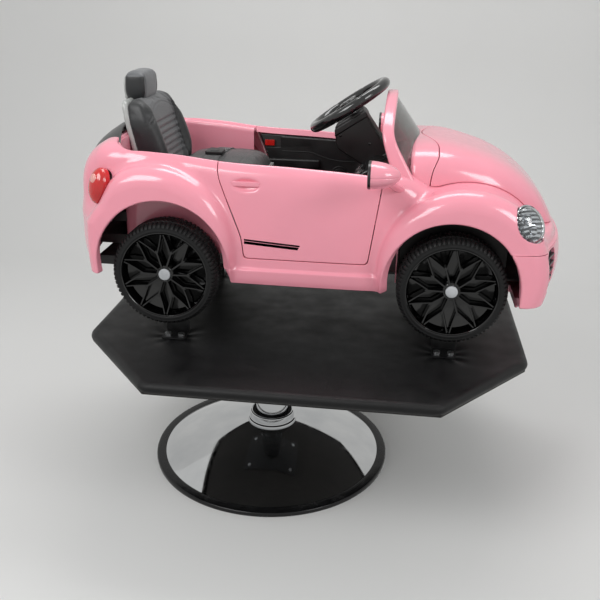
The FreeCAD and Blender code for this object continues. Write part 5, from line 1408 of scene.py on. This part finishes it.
class CHAIR_OT_seat(bpy.types.Operator):
    """Form the padded cushion, back and headrest, their shell and piping, and the lap belt"""
    bl_idname = "chair.seat"
    bl_label = "Seat and lap belt"

    def execute(self, context):
        settings = context.scene.chair_seat
        depth = settings.channel / MM
        dark = "#17191B"
        leather = vinyl("sewn_seat_leatherette", "#4A4B4D", "#57585A", 0.42, 2.2, 0.16, 0.2,
                        (dark, 84, 2000))
        rest = vinyl("sewn_headrest_leatherette", "#55575A", "#626466", 0.42, 2.2, 0.16, 0.2,
                     (dark, 45, 1029))
        black = vinyl("black_seat_leatherette", "#161718", "#202122", 0.42, 2.2, 0.16, 0.15)
        grey = moulded_plastic("grey_seat_shell", "#A6A9A6", "#B4B6B3", 0.34, 2.4, 0.1, 0.05)

        def channels(points):
            x, y, z = points.T
            up = z - BACK_FOOT
            wide = along(BACK, up / BACK_RISE)[0] * BACK_HALF
            front = x > lean_of(up) + 5
            inner = front * ramp((0.69 * wide - np.abs(y)) / 7)
            sink = np.zeros(len(points))
            for index in range(7):
                sink = sink + depth * np.exp(-((up - 40 - 15 * index) / 3.4) ** 2) * inner
            arc = up + 26 * (y / 100) ** 2
            for line in (172, 179):
                sink = sink + 1.6 * np.exp(-((arc - line) / 2.2) ** 2) * front * (up > 90)
            seam = np.exp(-((np.abs(y) - 0.69 * wide - 1) / 2.6) ** 2)
            return points - (sink + 2.4 * seam * front)[:, None] * (1, 0, 0)

        def seams(points):
            x, y, z = points.T
            sink = 2.0 * np.exp(-((np.abs(y) - 112) / 3) ** 2) * (z > 815)
            for line in (-70, -120, -170):
                sink = sink + 1.8 * np.exp(-((x - line) / 3.2) ** 2) * (z > 815) * (
                    np.abs(y) < 112)
            return points - sink[:, None] * (0, 0, 1)

        def welt(points):
            x, y, z = points.T
            side = np.exp(-((np.abs(y) - 45) / 2.4) ** 2)
            return points - (1.6 * side * np.where(x > -330, 1, -1))[:, None] * (1, 0, 0)

        soft = {}
        for name, field, low, high, finish, foot, sewn, node in (
                ("cushion_padding", cushion_field, (-245, -170, 785), (-10, 170, 850), black,
                 792.4, seams, "seat_cushion"),
                ("back_padding", back_field, (-350, -145, 786), (-200, 145, 1000), leather,
                 793, channels, "seat_back"),
                ("headrest_padding", headrest_field, (-365, -70, 962), (-295, 70, 1050), rest,
                 970, welt, "headrest")):
            points, faces = skin_of(field, low, high, 5)
            points = plumped(points, faces, settings.pressure, settings.swell / MM)
            points[:, 2] = np.maximum(points[:, 2], foot)
            points, faces = subdivided(points, faces)
            points = sewn(points)
            soft[name] = points, faces
            piece = show(name, points, faces, finish, "deck", "seat_leather", node)

        for side, name in SIDES:
            line = []
            for up in np.linspace(6, 176, 40):
                wide, deep = (float(share) for share in along(BACK, up / BACK_RISE))
                line.append((lean_of(up) + 20 * deep + 1.2, side * 0.69 * wide * BACK_HALF,
                             BACK_FOOT + up))
            cord = swept(line, disc_section(1.5, 8), up=(0, 1, 0))
            show("back_piping_" + name, *cord, black, "deck", "seat_leather")

        def back_shell(x, y, z):
            up = z - BACK_FOOT
            wide = along(BACK, up / BACK_RISE)[0] * 124
            plate = within(np.abs(x - lean_of(up) + 27) - 7, np.abs(y) - wide, 6)
            return within(within(plate, up - 188, 12), 700 - z, 4)

        def rest_shell(x, y, z):
            size = along(((0, 0.9), (0.3, 1), (0.8, 0.9), (1, 0.7)), (z - 984) / 50)[0]
            plate = within(np.abs(x + 353) - 5, np.abs(y) - 50 * size, 5)
            return within(within(plate, z - 1034, 12), 975 - z, 4)

        forms = [skin_of(back_shell, (-380, -135, 690), (-230, 135, 995), 5),
                 skin_of(rest_shell, (-372, -64, 966), (-336, 64, 1046), 4)]
        forms = [(points, faces.tolist()) for points, faces in forms]
        back, front, half, foot, top, wall = -300, -24, 165, 609, 792, 6
        for low, high in (((front - wall, -half, foot), (front, half, top)),
                          ((back, -half, foot), (back + wall, half, top)),
                          ((back, -half, top - wall), (front, half, top)),
                          ((back, -half, foot), (front, wall - half, top)),
                          ((back, half - wall, foot), (front, half, top))):
            forms.append(box_form(low, high, 2.4))
        show("seat_moulding", *gathered(*forms), grey, "deck", "seat_grey", "seat_shell")
        self.belt(*soft["cushion_padding"])
        return {"FINISHED"}

    def belt(self, points, faces):
        """A strap held tight over the cushion, from leg to leg, and its buckle."""
        middle, half, leg, foot, count = -146, 19, 166.4, 764.0, 90
        near = points[np.abs(points[:, 0] - middle) < half + 3]
        hull = sorted([(-leg, foot), (leg, foot)] + [(y, z) for _, y, z in near.tolist()])
        upper = []
        for y, z in reversed(hull):
            while len(upper) > 1:
                (first_y, first_z), (second_y, second_z) = upper[-2:]
                if ((second_y - first_y) * (z - first_z)
                        - (second_z - first_z) * (y - first_y)) > 0:
                    break
                upper.pop()
            upper.append((y, z))
        upper = np.array([place for place in upper if place[1] > foot - 1])
        steps = np.r_[0, np.cumsum(np.hypot(*np.diff(upper, axis=0).T))]
        at = np.linspace(0, steps[-1], count)
        y, z = np.interp(at, steps, upper[:, 0]), np.interp(at, steps, upper[:, 1])
        for _ in range(3):
            for line in (y, z):
                line[1:-1] = (line[:-2] + 2 * line[1:-1] + line[2:]) / 4
        away = unit(np.column_stack([np.gradient(z), -np.gradient(y)]))
        away = away * (-1 if away[count // 2, 1] < 0 else 1)
        y, z = y + away[:, 0] * 1.6, z + away[:, 1] * 1.6
        path = np.column_stack([np.full(count, float(middle)), y, z])
        section = rounded([(-0.7, -half), (0.7, -half), (0.7, half), (-0.7, half)], 0.6, 2)
        strap = show("lap_strap", *swept(path, section, up=(1, 0, 0)), woven_polyester(),
                     "deck", "belt_webbing", "lap_belt")
        top = float(z.max()) + 0.8
        outline = rounded([(-168, -26), (-124, -26), (-124, 8), (-128, 26), (-164, 26),
                           (-168, 8)], 5)
        body = slab(outline, 2, top, top + 9, 2.2)
        button = slab(rounded([(-156, -19), (-136, -19), (-136, 4), (-156, 4)], 4), 2,
                      top + 6, top + 10.2, 1.2)
        tongue = slab(rounded([(-161, 14), (-131, 14), (-131, 32), (-161, 32)], 3), 2,
                      top + 2.5, top + 6, 0.8)
        show("side_release_buckle", *gathered(body, button, tongue),
             moulded_plastic("moulded_nylon", "#0B0B0C", "#151516", 0.38), "deck",
             "black_plastic", "belt_buckle")


def steering_place():
    """The steering wheel's own axes: +Z runs up the column, towards the driver."""
    turn = Matrix(((0.8329, 0, -0.5534), (0, 1, 0), (0.5534, 0, 0.8329))).to_4x4()
    turn.translation = (185, 0, 974)
    return turn


class CHAIR_OT_steering(bpy.types.Operator):
    """Make the steering wheel, its horn pad and the column's cover"""
    bl_idname = "chair.steering"
    bl_label = "Steering"

    def execute(self, context):
        gloss = moulded_plastic("gloss_black_wheel", "#0A0A0B", "#141516", 0.16, 2.0, 0.5, 0.05)
        radius = 98
        points, faces = ring_about(radius, disc_section(12, 20), 144)
        angle = np.arctan2(points[:, 1], points[:, 0])
        # a thinner stretch marks each end of the two grips
        grip = np.abs(np.abs(np.abs(angle) - math.pi / 2) - 0.38) < 0.03
        centre = np.column_stack([radius * np.cos(angle), radius * np.sin(angle), 0 * angle])
        points = np.where(grip[:, None], centre + (points - centre) * 0.94, points)
        show("steering_wheel_rim", *carried((points, faces), steering_place()), gloss,
             "steering", "steering_black", "steering_rim")

        hub = [(0.01, -17.5), (27, -17.5), (29, -16), (30, -12), (30, 1), (28.5, 3.6),
               (26, 4.5), (23, 4.5), (22.5, 4), (22.5, 1.4), (0.01, 1.4)]
        forms = [spun(hub, 64, closed=False)]
        for turn in (math.pi, math.pi / 2, -math.pi / 2):
            outline = rounded([(25, -15), (60, -12.5), (88.5, -10.5), (88.5, 10.5),
                               (60, 12.5), (25, 15)], [0, 10, 2, 2, 10, 0])
            arm = slab(outline, 2, -4.5, 4.2, 2)
            trim = slab(rounded([(34, -9), (58, -7.5), (80, -6), (80, 6), (58, 7.5), (34, 9)],
                                3), 2, 3, 5.4, 0.9)
            forms.append(carried(gathered(arm, trim), Matrix.Rotation(turn, 4, "Z")))
        show("steering_wheel_hub", *carried(gathered(*forms), steering_place()), gloss,
             "steering", "steering_black", "steering_hub")

        pad = [(0.01, 4.9), (20.8, 4.9), (22, 5.8), (22, 8.2), (21.2, 9.6), (18.5, 10.8),
               (13, 11.5), (6, 11.85), (0.01, 11.9)]
        ring = ring_about(15.5, [(a, b + 11.2) for a, b in disc_section(0.7, 8)], 48)
        show("horn_button",
             *carried(gathered(spun(pad, 64, closed=False), ring), steering_place()), gloss,
             "horn", "steering_black", "horn_pad")

        satin = moulded_plastic("satin_black_cover", "#100D0E", "#191617", 0.36, 1.8, 0, 0.08)
        outline = rounded([(26, -21.5), (-52, -21.5), (-78, -67.5), (-31, -166.5),
                           (31, -166.5)], [6, 8, 14, 4, 4], 5)
        cover = slab(outline, 1, -32, 32, 5, 4)
        collar = slab(rounded([(27.5, -28), (-57, -28), (-66, -44), (27.8, -44)], 4), 1,
                      -33.5, 33.5, 3)
        foot = slab(rounded([(-40, -140), (-32.5, -167), (32.5, -167), (31.5, -140)], 4), 1,
                    -33.5, 33.5, 3)
        forms = [carried(gathered(cover, collar, foot), steering_place())]
        for x, z in ((168, 905), (238, 888)):
            for side in (-1, 1):
                turn = Matrix.Rotation(-side * math.pi / 2, 4, "X")
                turn.translation = (x, side * 32, z)
                forms.append(carried(domed(3.6, 1.6, 24, 4, 1), turn))
        show("column_casing", *gathered(*forms), satin, "deck", "black_plastic", "column_cover")
        return {"FINISHED"}


class CHAIR_OT_cockpit(bpy.types.Operator):
    """Make the dashboard, the doors' inner panels and what lies behind them"""
    bl_idname = "chair.cockpit"
    bl_label = "Dashboard and door panels"

    def execute(self, context):
        gloss = moulded_plastic("gloss_black_dash", "#0B0B0C", "#151617", 0.18, 2.2, 0.4, 0.05)
        satin = moulded_plastic("grained_black_polypropylene", "#0E0C0D", "#181617", 0.42, 1.8,
                                0, 0.1)
        outline = rounded([(221, 797), (317.6, 797), (317.6, 861.5), (237, 855.5),
                           (205.5, 826)], [2, 1, 5, 8, 6], 4)
        forms = [slab(outline, 1, -179.5, 179.5, 4, 4)]
        face = Matrix.Rotation(-math.atan2(29.5, 31.5), 4, "Y")
        slope_x, slope_z, thick = 221.5, 841.4, 2.6
        for y in (-118, 118):
            face.translation = (slope_x, y, slope_z)
            forms.append(carried(slab(rounded([(-17, -44), (17, -52), (17, 52), (-17, 44)], 7),
                                      2, -1, thick, 1.4), face))
            for offset in (-24, 24):
                face.translation = Vector((slope_x, y + offset, slope_z)) + face.to_3x3().col[
                    2] * thick
                forms.append(carried(ring_about(11.5, disc_section(1.3, 8), 40), face))
                forms.append(carried(domed(10, 1.4, 40, 5, 1), face))
        forms.append(slab(rounded([(250, -160), (306, -160), (306, 160), (250, 160)], 10), 2,
                          856, 862.2, 1.8))
        show("dashboard_moulding", *gathered(*forms), gloss, "deck", "dash_black", "dashboard")

        for side, name in SIDES:
            outline = rounded([(0, 672), (205, 672), (205, 844), (-71.8, 855.8),
                               (-71.8, 850)], [10, 10, 8, 1, 3], 5)
            board = slab(outline, 1, side * PANEL_BACK, side * OPENING_HALF, 2)
            outline = rounded([(0, 672), (205, 672), (205, 844), (-14, 851.4), (-14, 822),
                               (-60, 822)], [10, 10, 8, 4, 3, 3], 5)
            front = slab(outline, 1, side * PANEL_FACE, side * (PANEL_FACE + 8), 2)
            rest = slab(rounded([(-55, 770), (95, 770), (95, 792), (-55, 792)], [9, 9, 5, 5]),
                        1, side * (PANEL_FACE + 1), side * (PANEL_FACE - 14), 3.5)
            face = side * PANEL_FACE
            out = Matrix.Rotation(side * math.pi / 2, 4, "X")
            forms = [board, front, rest]
            for radius in (23, 16, 9):
                out.translation = (150, face, 752)
                forms.append(carried(ring_about(radius, disc_section(1.5, 8), 48), out))
            for x, z in ((-52, 808), (188, 690), (188, 828), (20, 690)):
                out.translation = (x, face, z)
                forms.append(carried(domed(3.4, 1.5, 20, 4, 1), out))
            for line in (((-10, 812), (70, 812), (112, 796), (150, 790), (190, 790)),
                         ((-30, 740), (40, 740), (92, 722), (118, 706))):
                path = [(x, face, z) for x, z in rounded(line, 14, 5, closed=False)]
                forms.append(swept(path, disc_section(1.6, 8), up=(0, 1, 0)))
            show("door_board_" + name, *gathered(*forms), satin, "door_" + name,
                 "black_plastic", "door_panel_" + name)
        finish_nodes(satin, "chassis")
        finish_nodes(moulded_plastic("gloss_red_latch", "#B80F0B", "#C91A12", 0.25, 2, 0.3,
                                     0.03), "latch_right", "latch_left")
        return {"FINISHED"}


# The windshield's bowed face: lean, reach at half its span, and place of its head
GLASS_X, GLASS_Z, GLASS_LEAN, GLASS_BOW, GLASS_HALF = 290, 1015, 0.74, 86, 240


def glass_x(y, z):
    """Where the windshield's face lies."""
    radius = (GLASS_BOW ** 2 + GLASS_HALF ** 2) / (2 * GLASS_BOW)
    return GLASS_X - (z - GLASS_Z) * GLASS_LEAN - radius + np.sqrt(radius ** 2 - y ** 2)


# The frame's outline seen from ahead: its crown's radius and centre, its shoulder's height and
# half-width, and its foot's
CROWN, CROWN_CENTRE, SHOULDER, SHOULDER_HALF, FOOT, FOOT_HALF = 330.7, 681.3, 940, 206, 846, 226


def arch_top(y, inset):
    """The windshield's outline over a place across the car, at an inset from its edge."""
    y = np.abs(y)
    crown = CROWN_CENTRE + np.sqrt(np.maximum((CROWN - inset) ** 2 - y ** 2, 0))
    return np.minimum(crown, SHOULDER + (SHOULDER_HALF - inset - y) * 4.5)


class CHAIR_OT_windshield(bpy.types.Operator):
    """Sweep the windshield's frame and bow its tinted pane"""
    bl_idname = "chair.windshield"
    bl_label = "Windshield"

    def execute(self, context):
        pink = bpy.data.materials["moulded_polypropylene_pink"]
        inset = 10
        line = [(inset - FOOT_HALF + 2 * k, FOOT + 9.2 * k) for k in range(10)]
        first = math.atan2(SHOULDER - CROWN_CENTRE, inset - SHOULDER_HALF)
        for angle in np.linspace(first, math.pi - first, 41):
            line.append(((CROWN - inset) * math.cos(angle),
                         CROWN_CENTRE + (CROWN - inset) * math.sin(angle)))
        line += [(-y, z) for y, z in reversed(line[:10])]
        line = np.array(line)
        for _ in range(6):
            line[1:-1] = (line[:-2] + 2 * line[1:-1] + line[2:]) / 4
        path = np.column_stack([glass_x(line[:, 0], line[:, 1]), line])
        share = ramp((SHOULDER - line[:, 1]) / 90)
        scale = np.column_stack([1 + 0.25 * share, 1 + 0.55 * share])
        section = rounded([(-10, -26), (10, -26), (10, 0), (-10, 0)], [6, 6, 7, 7], 4)
        show("windshield_moulding", *swept(path, section, up=(1, 0, 0), scale=scale), pink,
             "deck", "pink_body", "windshield_frame")

        columns, rows_up = 61, 25
        across = np.linspace(-208, 208, columns)
        top = arch_top(across, 12)
        low = np.full(columns, 880.0)
        for _ in range(6):
            x = glass_x(across, low)
            low = reached(lambda z: np.minimum(body_field(x, across, z),
                                               hood_field(x, across, z)) < 0,
                          columns, 700, 960)
        low = np.minimum(low - 4, top - 2)
        rows = []
        for share in np.linspace(0, 1, rows_up):
            z = low + (top - low) * share
            rows.append(np.column_stack([glass_x(across, z) - 6, across, z]))
        points = np.vstack(rows)
        faces = lattice(rows_up, columns)
        count = len(points)
        rim = open_edges(faces)
        strip = np.column_stack([rim[:, 1], rim[:, 0], rim[:, 0] + count, rim[:, 1] + count])
        points = np.vstack([points, points - (3, 0, 0)])
        faces = np.vstack([faces, faces[:, ::-1] + count, strip])
        show("tinted_windshield", points, faces, acrylic("smoked_acrylic", "#AEB5B2", 0.03),
             "deck", "tinted_pane", "windshield_pane")
        return {"FINISHED"}


class CHAIR_OT_trim(bpy.types.Operator):
    """Make the lamps, the mirrors, the grilles and the spoiler"""
    bl_idname = "chair.trim"
    bl_label = "Lamps, mirrors, grilles and spoiler"

    def execute(self, context):
        self.lamps()
        self.mirrors()
        self.grilles()
        self.spoiler()
        return {"FINISHED"}

    def lamps(self):
        # the bowls' streaked colour is painted reflections
        bright = metallised_painted_reflections()
        clear = acrylic("clear_polycarbonate", "#F4F6F7", 0.02)
        red = moulded_plastic("red_tail_acrylic", "#B4070A", "#CF1A18", 0.14, 6, 0.8, 0.12)
        pale = moulded_plastic("pale_reversing_lens", "#D98C86", "#E8A8A0", 0.2, 5, 0.5, 0.1)
        bezels, lenses, tails, windows = [], [], [], []
        for side in (-1, 1):
            size, place = HEADLAMP[-1], lamp_frame(HEADLAMP, side)
            bowl = facing([(1, 0.12), (1.04, 0.16), (1.07, 0.05), (1.05, -0.2), (0.9, -0.55),
                           (0.5, -0.9), (0.001, -1), (0.001, -0.7), (0.4, -0.62),
                           (0.7, -0.35), (0.9, -0.1), (0.96, 0.04)], 64, size, closed=False)
            bezels.append(carried(bowl, place))
            for up, radius in ((0.3, 12), (-0.34, 10)):
                lamp = facing([(radius, 2), (radius + 1, 4), (radius + 0.6, 5.5),
                               (radius - 1, 4), (radius * 0.6, -1), (0.01, -3)], 40, (1, 1, 1),
                              (-4, 0, up * size[2]), closed=False)
                bezels.append(carried(lamp, place))
            outer = [(math.cos(angle), math.sin(angle))
                     for angle in np.arange(12) * math.pi / 24] + [(0.001, 1)]
            inner = [(a * 0.93, b * 0.9) for a, b in reversed(outer)]
            lenses.append(carried(facing(outer + inner, 64, size), place))

            size, place = TAIL_LAMP[-1], lamp_frame(TAIL_LAMP, side)
            rows = []
            for k in range(25):
                angle = math.pi / 2 * k / 24
                ripple = 0.985 if k % 4 == 2 and k < 22 else 1
                rows.append((max(math.cos(angle), 0.001) * ripple,
                             math.sin(angle) * ripple))
            lens = facing([(0.001, -0.5), (0.97, -0.5), (1, -0.1)] + rows, 64, size,
                          closed=False)
            tails.append(carried(lens, place))
            window = facing([(0.001, -1), (1, -1), (1.06, 0.1), (0.9, 0.8), (0.5, 1.1),
                             (0.001, 1.2)], 40, (3.4, 9, 11),
                            (size[0] * 0.84, 2, size[2] * 0.34), closed=False)
            windows.append(carried(window, place))
        show("lamp_bowls", *gathered(*bezels), bright, "deck", "lamp_bezel", "headlight_bezels")
        show("lamp_covers", *gathered(*lenses), clear, "deck", "lamp_lens", "headlight_lenses")
        show("tail_lamp_lenses", *gathered(*tails), red, "deck", "tail_lens", "tail_lights")
        show("tail_lamp_windows", *gathered(*windows), pale, "deck", "tail_lens")

    def mirrors(self):
        pink = bpy.data.materials["moulded_polypropylene_pink"]
        black = moulded_plastic("black_mirror_rim", "#0C0C0D", "#161617", 0.3, 2, 0.2, 0.05)
        glasses = []
        for side, name in SIDES:
            rows = [(0.86, 0.05), (0.93, 0.0), (0.97, 0.02)]
            rows += [(math.cos(a), math.sin(a)) for a in np.linspace(0.05, math.pi / 2, 18)]
            rows[-1] = (0.001, 1)

            def part_line(row, step):
                return (-0.03, 0) if step in (0, 48) and row > 2 else (0, 0)

            shape = (66, 37.6, 28.6), (250.5, 334, 881)
            head = facing([(0.001, 0.05)] + rows, 96, *shape, closed=False, swell=part_line)
            path = [(283, 326, 872), (292, 305, 861), (303, 278, 847), (314, 252, 835),
                    (322, 232, 826)]
            foot = swept(path, disc_section(8, 20, 1.3), scale=[1.15, 1, 1, 1.1, 1.5])
            rim = facing([(0.87, 0.06), (0.88, -0.005), (0.93, -0.02), (1.0, -0.01),
                          (1.012, 0.03), (1.005, 0.075), (0.97, 0.08)], 96, *shape)
            glass = facing([(0.001, -0.02), (0.6, -0.016), (0.88, 0), (0.88, 0.03),
                            (0.001, 0.03)], 96, *shape, closed=False)
            forms = [gathered(head, foot), rim, glass]
            if side < 0:
                forms = [mirrored(each) for each in forms]
            show("mirror_housing_" + name, *forms[0], pink, "deck", "pink_body",
                 "mirror_" + name)
            show("mirror_edge_" + name, *forms[1], black, "deck", "black_plastic")
            glasses.append(forms[2])
        show("silvered_mirrors", *gathered(*glasses), silvered_glass(), "deck", "mirror_glass",
             "mirror_glasses")

    def grilles(self):
        """Panels set behind the bumper's openings, with bars across them."""
        forms = []
        across = np.linspace(206.5, 285.5, 30)
        levels = np.linspace(626.5, 713.5, 24)
        bar = rounded([(-4.2, -2.6), (4.2, -2.6), (4.2, 2.6), (-4.2, 2.6)], 1.8)
        post = rounded([(-1.4, -2), (1.4, -2), (1.4, 2), (-1.4, 2)], 0.9)

        def reach(y, z, back):
            return reached(lambda x: body_field(x, y, z) < 0, y.shape, 560, 720) - back

        y, z = np.meshgrid(across, levels)
        grid = np.stack([reach(y, z, 9), y, z], axis=2).reshape(-1, 3)
        sheet = (grid, lattice(len(levels), len(across)).tolist())
        back = (grid - (2, 0, 0), [face[::-1] for face in sheet[1]])
        forms += [sheet, back]
        for level in (644.5, 661.5, 678.5, 695.5):
            line = np.linspace(207.5, 284.5, 22)
            place = np.full(22, level)
            path = np.column_stack([reach(line, place, 5.2), line, place])
            forms.append(swept(path, bar))
        for aside in (222, 238, 254, 270):
            line = np.linspace(628, 712, 14)
            place = np.full(14, float(aside))
            path = np.column_stack([reach(place, line, 6.6), place, line])
            forms.append(swept(path, post, up=(1, 0, 0)))
        form = gathered(*forms)
        black = moulded_plastic("satin_black_grille", "#0C0C0D", "#161617", 0.35, 2, 0.1)
        show("grille_inserts", *gathered(form, mirrored(form)), black, "deck", "grille_black",
             "front_grilles")

    def spoiler(self):
        """A blade over the tail: shares of its half span, sweep and chord."""
        table = ((0, 0, 1), (0.25, 0.03, 1), (0.45, 0.1, 1), (0.75, 0.4, 0.93),
                 (0.92, 0.75, 0.75), (0.97, 0.88, 0.64), (1, 1, 0.5))
        place, half_span, sweep, drop = (-385, 0, 899), 217, 48, 34
        half_chord, half_thick, lean = 46, 5.8, math.radians(36)
        lead = np.array((math.cos(lean), 0, math.sin(lean)))
        high = np.array((-math.sin(lean), 0, math.cos(lean)))
        points, count = [], 28
        shares = np.linspace(-1, 1, 49)
        for share in shares:
            back, chord = (float(value) for value in along(table, abs(share)))
            middle = np.array(place) + (back * sweep, share * half_span, -back * drop)
            half = chord * half_chord
            for step in range(count):
                angle = 2 * math.pi * step / count
                a = math.copysign(abs(math.cos(angle)) ** 0.55, math.cos(angle)) * half
                b = math.copysign(abs(math.sin(angle)) ** 0.85, math.sin(angle)) * half_thick
                camber = 2.5 * (1 - (a / half) ** 2) - 1
                points.append(middle + lead * a + high * (b * (1 - 0.25 * (a / half) ** 2)
                                                          + camber))
        faces = lattice(len(shares), count, False, True).tolist()
        faces.append(list(range(count)))
        faces.append(list(range(len(points) - count, len(points)))[::-1])
        satin = moulded_plastic("satin_grey_spoiler", "#2A2B2B", "#363737", 0.36, 1.8, 0.1,
                                0.08)
        show("tail_blade", np.array(points), faces, satin, "deck", "spoiler_grey", "spoiler")


# The panel and the run
class CHAIR_PT_pieces(bpy.types.Panel):
    """The chair's settings and pieces"""
    bl_idname = "CHAIR_PT_pieces"
    bl_label = "Kids Car Barber Chair"
    bl_space_type = "VIEW_3D"
    bl_region_type = "UI"
    bl_category = "Chair"

    def draw(self, context):
        for name, group in SETTINGS.items():
            box = self.layout.box()
            for field in group.__annotations__:
                box.prop(getattr(context.scene, name), field)
        for piece in PIECES:
            self.layout.operator(piece.bl_idname)


SETTINGS = {"chair_body": BodySettings, "chair_wheels": WheelSettings,
            "chair_seat": SeatSettings, "chair_pedestal": PedestalSettings,
            "chair_stage": StageSettings}
PIECES = (CHAIR_OT_stage, CHAIR_OT_pedestal, CHAIR_OT_deck, CHAIR_OT_wheels, CHAIR_OT_body,
          CHAIR_OT_windshield, CHAIR_OT_cockpit, CHAIR_OT_steering, CHAIR_OT_seat,
          CHAIR_OT_trim)


def register():
    for group in (*SETTINGS.values(), *PIECES, CHAIR_PT_pieces):
        bpy.utils.register_class(group)
    for name, group in SETTINGS.items():
        setattr(bpy.types.Scene, name, PointerProperty(type=group))


def unregister():
    for name in SETTINGS:
        delattr(bpy.types.Scene, name)
    for group in reversed((*SETTINGS.values(), *PIECES, CHAIR_PT_pieces)):
        bpy.utils.unregister_class(group)


def main():
    register()
    for piece in PIECES:
        group, name = piece.bl_idname.split(".")
        getattr(getattr(bpy.ops, group), name)()


if __name__ == "__main__":
    main()
